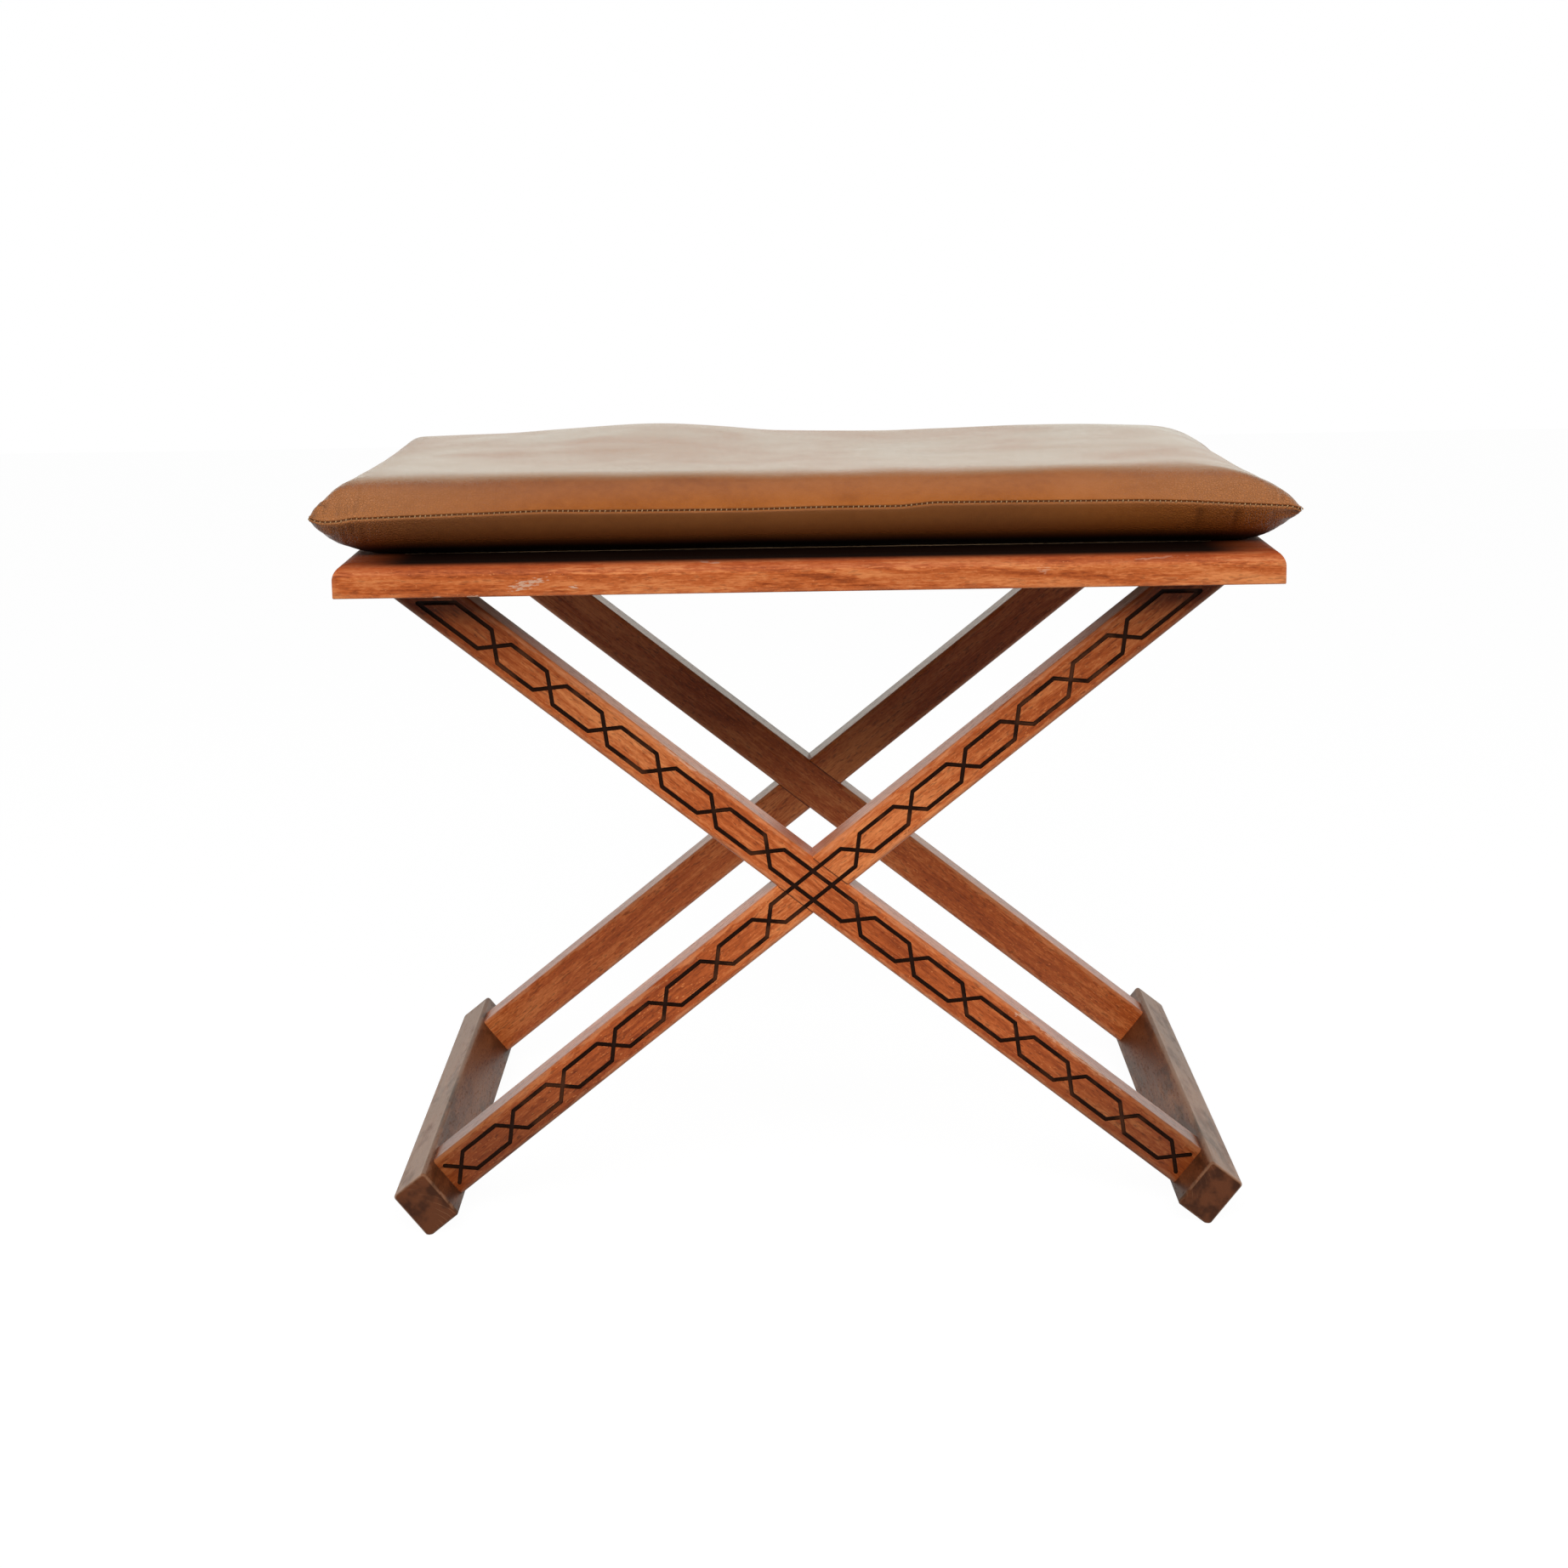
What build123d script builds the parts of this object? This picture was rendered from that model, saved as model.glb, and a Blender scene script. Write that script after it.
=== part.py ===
from build123d import *
import math
import os

# Camel saddle stool: two carved cross frames on a pair of foot rails, a framed seat and a loose
# leather cushion. Millimetres, +Z up, +X to the right and -Y to the front. The origin is on the
# floor under the middle of the seat.

# Seat frame
seat_length = 610.0
seat_depth = 442.0
seat_thickness = 22.0
seat_top_round = 10.5
seat_under_round = 1.0
end_rail_width = 56.0
long_rail_width = 70.0

# Stub tenons of the end rails, in the long rails under the panel's level
tenon_thickness = 7.0
tenon_width = 30.0
tenon_gap = 0.2
tenon_to_dowel = 6.0         # wood left between a tenon and the dowel of the leg

# Panel that closes the seat frame, flush with its top, and its screws
panel_thickness = 8.0
panel_lap = 16.0             # width of the rebate that the panel lies in
panel_gap = 0.5
screw_diameter = 3.5
screw_head_diameter = 7.0
screw_head_height = 2.2
screw_slot_width = 0.9
screw_slot_depth = 1.0
screw_length = 16.0
screw_gap = 0.1
front_screw_count = 4
end_screw_count = 3

# Legs: each cross frame is two square bars, halved into one another where they cross
leg_width = 30.0             # seen from the front
leg_depth = 33.0             # front to back
leg_edge_round = 3.0
leg_drop = 320.0             # along the leg, from the crossing down to the foot rail
leg_rise = 201.0             # height of the seat's underside above the crossing
seat_overhang = 52.3         # from the leg's middle line, under the seat, to the end of the seat
leg_setback = 34.0           # from the front edge of the seat to the carved face

# Carved line pattern on the outer faces
groove_width = 2.8
groove_depth = 1.8
groove_half_spacing = 7.7    # from the leg's middle line to each long line
cross_pitch = 45.0           # from one small carved cross to the next
cross_half_length = 8.0
first_cross = 38.0           # from the leg crossing to the first carved cross
pattern_top_margin = 8.0     # from the seat's underside to the closing line

# Foot rails, front to back, turned to the slope of the legs
foot_overhang = 34.0         # from the carved face to the end of the foot rail
foot_width = 37.0            # across the end of the leg
foot_thickness = 27.0        # along the leg
foot_offset = 0.8            # the foot's middle stands this far above the leg's middle line
foot_edge_round = 2.5
foot_tread = 5.0             # width of the flat that the stool stands on

# Dowels that hold each leg to its foot rail and to the seat
dowel_diameter = 10.0
dowel_in_leg = 30.0
dowel_foot_cover = 9.0       # wood of the foot rail beyond the dowel
dowel_seat_cover = 1.0       # from the dowel's top to the level of the panel's underside
dowel_gap = 0.1
dowel_end_gap = 0.8

# Cushion: two leather covers sewn round a knife edge, over a soft filling
cushion_overhang = 15.0      # past each end of the seat
cushion_setback = 21.0       # behind the front edge of the seat
cushion_seam_height = 28.0
cushion_shoulder_height = 50.5       # at the front and at both ends
cushion_swell_height = 60.0          # at the fullest place, left of the middle and towards the rear
cushion_swell_place = 110.0          # from the middle to the left
cushion_hollow_height = 51.5
cushion_hollow_place = 50.0          # from the middle to the right
cushion_end_swell_height = 53.5
cushion_end_swell_place = 175.0      # from the middle to the right
cushion_front_slope = 50.0           # width of the round slope from the seam up to the top
cushion_rear_slope = 60.0
cushion_left_slope = 27.5
cushion_right_slope = 69.0
cushion_under_slope = 44.0           # from the seam in to where the cushion rests
cushion_side_pull = 5.0      # how far the sides draw in between the corners
cushion_gap = 0.3
leather_thickness = 1.5
filling_gap = 0.3

overrun = 60.0               # how far the cutting shapes pass what they cut

slope = math.atan2(leg_rise, seat_length / 2 - seat_overhang)
leg_slope = math.degrees(slope)      # above the floor
leg_middle_y = seat_depth / 2 - leg_setback - leg_depth / 2
leg_top_reach = leg_rise / math.sin(slope)
foot_length = 2 * (leg_middle_y + leg_depth / 2 + foot_overhang)
tread_cut = foot_tread * math.sin(slope) * math.cos(slope)
crossing_height = ((leg_drop + foot_thickness) * math.sin(slope)
                   + (foot_width / 2 - foot_offset) * math.cos(slope) - tread_cut)
seat_bottom = crossing_height + leg_rise
seat_top = seat_bottom + seat_thickness
window_length = seat_length - 2 * end_rail_width
window_depth = seat_depth - 2 * long_rail_width
tenon_length = long_rail_width - leg_setback - (leg_depth + dowel_diameter) / 2 - tenon_to_dowel
dowel_in_foot = foot_thickness - dowel_foot_cover
dowel_rise = seat_thickness - panel_thickness - dowel_seat_cover
dowel_in_seat = (dowel_rise - dowel_diameter / 2 * math.cos(slope)) / math.sin(slope)
cushion_length = seat_length + 2 * cushion_overhang
cushion_depth = seat_depth - 2 * cushion_setback
cushion_bottom = seat_top + cushion_gap


def save(name, shape):
    export_step(shape, f"parts/{name}.step")


def to_rear(shape):
    """The rear frame is the front one turned half round the upright axis."""
    return Rot(0, 0, 180) * shape


# Cross frames

def along_leg(side, distance, offset=0.0):
    """Place on a leg: distance down from the crossing, offset square to it and upwards.
    side is 1 for the leg that stands in the right foot, -1 for the left one."""
    x = side * (distance * math.cos(slope) + offset * math.sin(slope))
    z = -distance * math.sin(slope) + offset * math.cos(slope)
    return Pos(x, 0, z) * Rot(0, side * leg_slope, 0)


def leg_strip(side, depth):
    """Plain bar along the whole leg, square at its foot and too long at its top."""
    length = leg_drop + leg_top_reach + overrun
    return along_leg(side, leg_drop - length / 2) * Box(length, depth, leg_width)


def leg_bar(side):
    """The leg's bar with its long edges rounded."""
    length = leg_drop + leg_top_reach + overrun
    bar = Box(length, leg_depth, leg_width)
    bar = fillet(bar.edges().filter_by(Axis.X), leg_edge_round)
    return along_leg(side, leg_drop - length / 2) * bar


def stroke(start, end):
    """One straight groove with round ends, drawn flat: x down the leg, y square to it."""
    middle = ((start[0] + end[0]) / 2, (start[1] + end[1]) / 2)
    length = math.dist(start, end)
    angle = math.degrees(math.atan2(end[1] - start[1], end[0] - start[0]))
    return Pos(*middle) * SlotCenterToCenter(length, groove_width, rotation=angle)


def carved_lines():
    """Two long lines that cross over each other at every carved cross, closed under the seat."""
    closing_height = leg_rise - pattern_top_margin
    top_ends = {way: (-(closing_height - way * groove_half_spacing * math.cos(slope)) / math.sin(slope),
                      way * groove_half_spacing) for way in (1, -1)}
    crosses_down = 1 + int((leg_drop - first_cross - cross_half_length) // cross_pitch)
    crosses_up = 1 + int((-top_ends[1][0] - first_cross - cross_half_length) // cross_pitch)
    centres = [-(first_cross + step * cross_pitch) for step in reversed(range(crosses_up))]
    centres += [first_cross + step * cross_pitch for step in range(crosses_down)]
    strokes = [stroke(top_ends[1], top_ends[-1])]
    for way in (1, -1):
        across = way * groove_half_spacing
        line_start = top_ends[way]
        for centre in centres:
            strokes.append(stroke(line_start, (centre - cross_half_length, across)))
            strokes.append(stroke((centre - cross_half_length, across), (centre + cross_half_length, -across)))
            line_start = (centre + cross_half_length, across)
    return Sketch() + strokes


def groove_cutter():
    """The pattern of the right leg, as a solid that sinks into the outer face."""
    face = Plane(origin=(0, -leg_depth / 2, 0),
                 x_dir=(math.cos(slope), 0, -math.sin(slope)), z_dir=(0, -1, 0))
    lines = face * carved_lines()
    return extrude(lines, amount=groove_depth, dir=(0, 1, 0))


def dowel_hole(side, distance, length):
    """Bore round a dowel: distance down the leg to its middle, with room at both ends."""
    bore = Cylinder(dowel_diameter / 2 + dowel_gap, length + 2 * dowel_end_gap)
    return along_leg(side, distance) * Rot(0, 90, 0) * bore


def dowel(side, distance, length):
    return along_leg(side, distance) * Rot(0, 90, 0) * Cylinder(dowel_diameter / 2, length)


foot_dowel_length = dowel_in_leg + dowel_in_foot
foot_dowel_middle = leg_drop + (dowel_in_foot - dowel_in_leg) / 2
seat_dowel_length = dowel_in_leg + dowel_in_seat
seat_dowel_middle = -leg_top_reach - (dowel_in_seat - dowel_in_leg) / 2


def cross_frame():
    """Both legs of one frame about their crossing, carved face to the front: (right, left)."""
    cutter = groove_cutter()
    whole = leg_bar(1) + leg_bar(-1) - cutter - mirror(cutter, about=Plane.YZ)
    tall = 2 * leg_top_reach
    above = Pos(0, 0, leg_rise + tall / 2) * Box(2 * seat_length, 2 * leg_depth, tall)
    whole -= above
    crossing = leg_strip(1, leg_depth) & leg_strip(-1, leg_depth)
    half = Box(seat_length, leg_depth, seat_length)
    front_half = crossing & (Pos(0, -leg_depth / 2, 0) * half)
    rear_half = crossing & (Pos(0, leg_depth / 2, 0) * half)
    legs = []
    for side, gap in ((1, rear_half), (-1, front_half)):
        leg = (whole & leg_strip(side, 2 * leg_depth)) - gap
        leg -= dowel_hole(side, foot_dowel_middle, foot_dowel_length)
        leg -= dowel_hole(side, seat_dowel_middle, seat_dowel_length)
        legs.append(leg)
    return legs


to_front = Pos(0, -leg_middle_y, crossing_height)
right_leg, left_leg = [to_front * leg for leg in cross_frame()]


def leg_dowels(middle, length):
    """The four dowels of one kind, at both legs of both frames."""
    front = [to_front * dowel(side, middle, length) for side in (1, -1)]
    return front + [to_rear(pin) for pin in front]


def leg_dowel_holes(middle, length):
    front = [to_front * dowel_hole(side, middle, length) for side in (1, -1)]
    return front + [to_rear(bore) for bore in front]


# Foot rails

def foot_rail(side):
    """Eased bar square to the legs, with a narrow flat where it meets the floor."""
    bar = Box(foot_thickness, foot_length, foot_width)
    bar = fillet(bar.edges(), foot_edge_round)
    bar = Pos(0, 0, crossing_height) * along_leg(side, leg_drop + foot_thickness / 2, foot_offset) * bar
    below = Pos(0, 0, -overrun / 2) * Box(2 * seat_length, 2 * foot_length, overrun)
    bar -= below
    for bore in leg_dowel_holes(foot_dowel_middle, foot_dowel_length):
        bar -= bore
    return bar


# Seat frame

def eased_profile(width):
    """Rail section: well rounded along the top, barely eased below. Drawn from its underside."""
    outline = Pos(0, seat_thickness / 2) * Rectangle(width, seat_thickness)
    corners = outline.vertices().sort_by(Axis.Y)
    outline = fillet(corners[:2], seat_under_round)
    corners = outline.vertices().group_by(Axis.Y)[-1]
    return fillet(corners, seat_top_round)


def seat_blank():
    """The frame before it is parted: edges rounded on all four sides, meeting in mitres."""
    long_way = extrude(Plane.YZ * eased_profile(seat_depth), amount=seat_length / 2, both=True)
    short_way = extrude(Plane.XZ * eased_profile(seat_length), amount=seat_depth / 2, both=True)
    window = Box(window_length, window_depth, 2 * overrun)
    rebate = Box(window_length + 2 * panel_lap, window_depth + 2 * panel_lap, 2 * panel_thickness)
    return Pos(0, 0, seat_bottom) * ((long_way & short_way) - window - Pos(0, 0, seat_thickness) * rebate)


def tenon(side, end, gap):
    """Tenon of an end rail at the front (end -1) or the rear (end 1)."""
    x = side * (window_length / 2 + panel_lap + (end_rail_width - panel_lap) / 2)
    y = end * (window_depth / 2 + (tenon_length + gap) / 2)
    peg = Box(tenon_width + 2 * gap, tenon_length + gap, tenon_thickness + 2 * gap)
    return Pos(x, y, seat_bottom + (seat_thickness - panel_thickness) / 2) * peg


def screw_places():
    """Middle of each panel screw, along the middle of the rebate."""
    x_out = window_length / 2 + panel_lap / 2
    y_out = window_depth / 2 + panel_lap / 2
    places = []
    for step in range(front_screw_count):
        share = (2 * step + 1) / front_screw_count - 1
        places += [(share * x_out, -y_out), (share * x_out, y_out)]
    for step in range(end_screw_count):
        share = (2 * step + 1) / end_screw_count - 1
        places += [(-x_out, share * y_out), (x_out, share * y_out)]
    return places


def screw_shape(gap):
    """Countersunk screw with its head's top at the origin."""
    shank = Pos(0, 0, -(screw_length + gap) / 2) * Cylinder(screw_diameter / 2 + gap, screw_length + gap)
    head = Cone(screw_diameter / 2 + gap, screw_head_diameter / 2 + gap, screw_head_height)
    return shank + Pos(0, 0, -screw_head_height / 2) * head


def panel_screws():
    slot = Box(screw_head_diameter, screw_slot_width, 2 * screw_slot_depth)
    screw = screw_shape(0.0) - slot
    return [Pos(x, y, seat_top) * screw for x, y in screw_places()]


def screw_holes():
    return [Pos(x, y, seat_top) * screw_shape(screw_gap) for x, y in screw_places()]


def seat_rails():
    """Front and rear rails run the whole length; the end rails are tenoned between them."""
    blank = seat_blank()
    for hole in screw_holes():
        blank -= hole
    rails = {}
    rail_box = Box(2 * seat_length, long_rail_width, 2 * overrun)
    for name, end in (("seat_front_rail", -1), ("seat_rear_rail", 1)):
        y = end * (window_depth + long_rail_width) / 2
        rail = blank & (Pos(0, y, seat_top) * rail_box)
        for side in (1, -1):
            rail -= tenon(side, end, tenon_gap)
        for bore in leg_dowel_holes(seat_dowel_middle, seat_dowel_length):
            rail -= bore
        rails[name] = rail
    end_box = Box(end_rail_width, window_depth, 2 * overrun)
    for name, side in (("seat_left_rail", -1), ("seat_right_rail", 1)):
        x = side * (window_length + end_rail_width) / 2
        rail = blank & (Pos(x, 0, seat_top) * end_box)
        for end in (1, -1):
            rail += tenon(side, end, 0.0)
        rails[name] = rail
    return rails


def seat_panel():
    length = window_length + 2 * panel_lap - 2 * panel_gap
    depth = window_depth + 2 * panel_lap - 2 * panel_gap
    panel = Pos(0, 0, seat_top - panel_thickness / 2) * Box(length, depth, panel_thickness)
    for hole in screw_holes():
        panel -= hole
    return panel


# Cushion

def cushion_section(half, near_slope, far_slope, far_height, swells, shrink):
    """Section through the cushion: knife edge at each side, flat below, and a round slope up from
    each edge. The top line goes through the swells (place, height), or rises to the far slope."""
    low, seam = shrink, cushion_seam_height
    tip = half - 2 * shrink
    rest = half - cushion_under_slope - shrink
    near = (near_slope + shrink - half, cushion_shoulder_height - shrink)
    far = (half - far_slope - shrink, far_height - shrink)
    if swells:
        places = [(place, height - shrink) for place, height in swells]
        top_line = Spline(near, *places, far, tangents=((1, 0), (1, 0)))
    else:
        top_line = TangentArc(far, near, tangent=(-1, 0))
    outline = [
        Line((-rest, low), (rest, low)),
        TangentArc((rest, low), (tip, seam), tangent=(1, 0)),
        TangentArc(far, (tip, seam), tangent=(1, 0)),
        top_line,
        TangentArc(near, (-tip, seam), tangent=(-1, 0)),
        TangentArc((-rest, low), (-tip, seam), tangent=(-1, 0)),
    ]
    return make_face(Curve() + outline)


def cushion_plan(shrink):
    """Seen from above: pointed corners with the sides drawn in between them."""
    x = cushion_length / 2 - 2 * shrink
    y = cushion_depth / 2 - 2 * shrink
    corners = [(-x, -y), (x, -y), (x, y), (-x, y), (-x, -y)]
    sides = [SagittaArc(a, b, cushion_side_pull) for a, b in zip(corners[:-1], corners[1:])]
    return make_face(Curve() + sides)


def cushion_form(shrink):
    """What the views from the front, from the side and from above have in common."""
    half_length, half_depth = cushion_length / 2, cushion_depth / 2
    swells = [(-cushion_swell_place, cushion_swell_height), (cushion_hollow_place, cushion_hollow_height),
              (cushion_end_swell_place, cushion_end_swell_height)]
    front_view = cushion_section(half_length, cushion_left_slope, cushion_right_slope,
                                 cushion_shoulder_height, swells, shrink)
    side_view = cushion_section(half_depth, cushion_front_slope, cushion_rear_slope,
                                cushion_swell_height, [], shrink)
    long_way = extrude(Plane.XZ * front_view, amount=half_depth, both=True)
    short_way = extrude(Plane.YZ * side_view, amount=half_length, both=True)
    plan = extrude(cushion_plan(shrink), amount=2 * cushion_swell_height)
    return Pos(0, 0, cushion_bottom) * (long_way & short_way & plan)


def cushion_pieces():
    """Top and bottom covers meet at the seam; the filling lies clear inside them."""
    shell = cushion_form(0.0) - cushion_form(leather_thickness)
    half = Box(2 * cushion_length, 2 * cushion_depth, cushion_swell_height)
    seam_level = cushion_bottom + cushion_seam_height
    above = Pos(0, 0, seam_level + cushion_swell_height / 2) * half
    below = Pos(0, 0, seam_level - cushion_swell_height / 2) * half
    return {"cushion_top_cover": shell & above, "cushion_bottom_cover": shell & below,
            "cushion_filling": cushion_form(leather_thickness + filling_gap)}


os.makedirs("parts", exist_ok=True)
save("front_leg_right", right_leg)
save("front_leg_left", left_leg)
save("rear_leg_left", to_rear(right_leg))
save("rear_leg_right", to_rear(left_leg))
save("foot_rail_right", foot_rail(1))
save("foot_rail_left", foot_rail(-1))
save("foot_dowels", Compound(children=leg_dowels(foot_dowel_middle, foot_dowel_length)))
save("seat_dowels", Compound(children=leg_dowels(seat_dowel_middle, seat_dowel_length)))
for rail_name, rail_shape in seat_rails().items():
    save(rail_name, rail_shape)
save("seat_panel", seat_panel())
save("panel_screws", Compound(children=panel_screws()))
for piece_name, piece in cushion_pieces().items():
    save(piece_name, piece)
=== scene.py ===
import math

import bpy
import numpy as np
from mathutils import Matrix, Vector


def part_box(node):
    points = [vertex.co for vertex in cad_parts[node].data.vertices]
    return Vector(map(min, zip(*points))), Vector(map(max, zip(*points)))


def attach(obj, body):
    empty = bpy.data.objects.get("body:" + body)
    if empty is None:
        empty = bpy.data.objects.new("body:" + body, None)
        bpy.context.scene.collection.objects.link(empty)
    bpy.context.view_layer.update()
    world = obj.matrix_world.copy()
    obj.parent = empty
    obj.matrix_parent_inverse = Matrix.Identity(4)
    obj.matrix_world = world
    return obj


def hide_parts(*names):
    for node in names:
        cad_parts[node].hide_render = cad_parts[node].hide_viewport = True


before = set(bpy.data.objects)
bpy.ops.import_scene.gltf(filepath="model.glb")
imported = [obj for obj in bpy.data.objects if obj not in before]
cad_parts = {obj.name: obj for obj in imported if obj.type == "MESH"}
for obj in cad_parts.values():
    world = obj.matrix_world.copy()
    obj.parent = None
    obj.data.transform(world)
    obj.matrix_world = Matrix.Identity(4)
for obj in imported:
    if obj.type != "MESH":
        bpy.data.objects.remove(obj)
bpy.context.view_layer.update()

# A camel saddle stool: carved cross frames on two foot rails, a framed seat and a leather cushion.
# Metres, +Z up, +X to the right, -Y to the front.


# Small helpers for objects and node trees

def addObject(name, data):
    obj = bpy.data.objects.new(name, data)
    bpy.context.scene.collection.objects.link(obj)
    return obj


# Each socket gets a value or another node's output.
def setInputs(tree, node, inputs):
    for key, value in dict(inputs).items():
        if isinstance(value, bpy.types.NodeSocket):
            tree.links.new(value, node.inputs[key])
        else:
            node.inputs[key].default_value = value


def addNode(tree, kind, inputs=(), **settings):
    node = tree.nodes.new("ShaderNode" + kind)
    for key, value in settings.items():
        setattr(node, key, value)
    setInputs(tree, node, inputs)
    return node


def doMath(tree, operation, first, second=0.0, clamp=False):
    return addNode(tree, "Math", {0: first, 1: second}, operation=operation, use_clamp=clamp).outputs[0]


def times(tree, first, second):
    return doMath(tree, "MULTIPLY", first, second)


def plus(tree, first, second, clamp=False):
    return doMath(tree, "ADD", first, second, clamp)


def minus(tree, first, second):
    return doMath(tree, "SUBTRACT", first, second)


# first plus the share of second.
def addShare(tree, first, second, share):
    return plus(tree, first, times(tree, second, share))


def doVector(tree, operation, first, second=(0, 0, 0)):
    node = addNode(tree, "VectorMath", {0: first, 1: second}, operation=operation)
    return node.outputs["Value" if operation == "LENGTH" else "Vector"]


# The three parts of a vector.
def axesOf(tree, vector):
    return addNode(tree, "SeparateXYZ", {0: vector}).outputs


def objectPlace(tree):
    return addNode(tree, "TexCoord").outputs["Object"]


# The three parts of the surface's direction.
def facingOf(tree):
    return axesOf(tree, addNode(tree, "NewGeometry").outputs["Normal"])


# value from low..high to toLow..toHigh, held at both ends.
def spread(tree, value, low, high, toLow=0.0, toHigh=1.0, smooth=True):
    inputs = {"Value": value, "From Min": low, "From Max": high, "To Min": toLow, "To Max": toHigh}
    kind = "SMOOTHSTEP" if smooth else "LINEAR"
    return addNode(tree, "MapRange", inputs, interpolation_type=kind).outputs["Result"]


# Noise with this many spots to the metre on each axis.
def noiseAt(tree, vector, spots, detail=2.0, roughness=0.5, distortion=0.0):
    scaled = doVector(tree, "MULTIPLY", vector, spots)
    inputs = {"Vector": scaled, "Scale": 1.0, "Detail": detail, "Roughness": roughness,
              "Distortion": distortion}
    return addNode(tree, "TexNoise", inputs).outputs["Fac"]


# The same about nought.
def waver(tree, vector, spots, detail, roughness):
    return minus(tree, noiseAt(tree, vector, spots, detail, roughness), 0.5)


# Colour ramp through (place, colour) stops.
def rampOf(tree, value, stops):
    node = addNode(tree, "ValToRGB", {"Fac": value})
    points = node.color_ramp.elements
    while len(points) < len(stops):
        points.new(0.5)
    for point, (place, colour) in zip(points, stops):
        point.position = place
        point.color = (*colour, 1.0)
    return node.outputs["Color"]


# Colours are tuples of three or outputs of nodes.
def blendColour(tree, share, first, second):
    first, second = ((*c, 1.0) if isinstance(c, tuple) else c for c in (first, second))
    return addNode(tree, "Mix", {0: share, 6: first, 7: second}, data_type="RGBA").outputs[2]


def bumpOf(tree, height, distance, strength, normal=None):
    inputs = {"Height": height, "Distance": distance, "Strength": strength}
    if normal is not None:
        inputs["Normal"] = normal
    return addNode(tree, "Bump", inputs).outputs["Normal"]


def newMaterial(name):
    material = bpy.data.materials.new(name)
    material.use_nodes = True
    tree = material.node_tree
    return material, tree, tree.nodes["Principled BSDF"]


# Camera, worked out from the carved lines' even spacing in the photograph
view = {
    "place": (-0.0076, -2.1198, 0.6849),
    "yaw": -0.314,       # degrees, to the right of +Y
    "pitch": 11.361,     # degrees down
    "roll": -0.963,
    "lens": 68.66,       # millimetres on a 36 mm wide sensor
}


def makeCamera():
    data = bpy.data.cameras.new("stoolCamera")
    data.sensor_width = 36.0
    data.lens = view["lens"]
    camera = addObject("stoolCamera", data)
    turn = (Matrix.Rotation(math.radians(-view["yaw"]), 4, "Z")
            @ Matrix.Rotation(math.radians(90 - view["pitch"]), 4, "X")
            @ Matrix.Rotation(math.radians(view["roll"]), 4, "Z"))
    camera.matrix_world = Matrix.Translation(view["place"]) @ turn
    bpy.context.scene.camera = camera


# Wood. Every piece has its own lay: where its middle is, how it is turned and half its size, so
# that the fibres run along the piece and wear follows its edges.

seatLow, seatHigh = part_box("seat_front_rail")
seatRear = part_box("seat_rear_rail")[1].y
legLow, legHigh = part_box("front_leg_right")
legs = {
    "slope": math.radians(38.5),        # above the floor
    "rise": 0.201,                      # from the crossing up to the seat's underside
    "width": 0.030,
    "grooveDepth": 0.0018,
    "grooveHalfBand": 0.0096,           # the carved band, from the leg's middle line
    "jointLine": (0.0012, 0.0004),      # the dark line beside the lap joint, in from the leg's edge
    "jointShare": 0.85,
    "jointInset": 0.001,
    "jointClear": (0.001, 0.006),       # no wear nearer to the crossing leg
}
legHalfDepth = (legHigh.y - legLow.y) / 2
crossingHeight = seatLow.z - legs["rise"]
feet = {"width": 0.037, "thickness": 0.027, "treadCut": 0.0024}


def pieceLay(middle, turn, half):
    return {"middle": Vector(middle), "turn": turn.to_euler(), "half": Vector(half)}


# Lay of a leg: X down the leg, Y into it from the carved face, Z across the carved face.
def legLay(side, rear):
    turn = Matrix.Rotation(math.pi if rear else 0.0, 3, "Z") @ Matrix.Rotation(side * legs["slope"], 3, "Y")
    middle = (0, (legLow.y + legHalfDepth) * (-1 if rear else 1), crossingHeight)
    return dict(pieceLay(middle, turn, (1.0, legHalfDepth, legs["width"] / 2)), side=side)


def footLay(side):
    low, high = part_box("foot_rail_right" if side > 0 else "foot_rail_left")
    middle = ((low.x + high.x) / 2, 0, (low.z - feet["treadCut"] + high.z) / 2)
    turn = Matrix.Rotation(side * legs["slope"], 3, "Y") @ Matrix.Rotation(math.pi / 2, 3, "Z")
    return pieceLay(middle, turn, (high.y, feet["thickness"] / 2, feet["width"] / 2))


def seatLay(alongX):
    middle = (0, 0, (seatLow.z + seatHigh.z) / 2)
    half = (seatHigh.x, seatRear, (seatHigh.z - seatLow.z) / 2)
    if alongX:
        return pieceLay(middle, Matrix.Identity(3), half)
    return pieceLay(middle, Matrix.Rotation(math.pi / 2, 3, "Z"), (half[1], half[0], half[2]))


stain = {
    "dark": (0.200, 0.032, 0.006),
    "mid": (0.430, 0.092, 0.019),
    "light": (0.700, 0.235, 0.072),
    "pore": (0.040, 0.009, 0.004),
    "wearAndHighlight": (0.640, 0.250, 0.105),
    "scuffed": (0.62, 0.42, 0.30),
    "ringSpacing": 0.0075,
    "ringWander": 0.040,
    "ringRagged": 0.90,
    "ringDrift": 0.045,                 # how fast the rings change along the piece, as a share of across
    "pith": (0.0, -0.035, -0.060),      # the tree's middle, outside the plank
    "roughness": 0.30,
    "wear": 0.50,                       # along the edges: wear, partly a painted highlight on the arrises
    "wearWidth": 0.0034,
    "wearWander": 0.008,
    "flame": 0.25,                      # these five say how strongly each part sways the tone
    "cloud": 0.90,
    "fibre": 0.55,
    "streak": 0.35,
    "grit": 0.55,
    "streaks": 0.18,                    # and these, how strongly pale streaks, pores and specks show
    "flecks": 0.42,
    "specks": 0.60,
    "wave": 0.0009,                     # depth of the lacquer's unevenness, and of the pores
    "relief": 0.00010,
    "bump": 0.35,
    "lustre": 1.45,                     # how strongly the lacquer mirrors, as an index of refraction
    "tone": 1.0,
    "heights": (),                      # share of the seat's height, share of the tone: painted shade, darker under the seat
}
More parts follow.
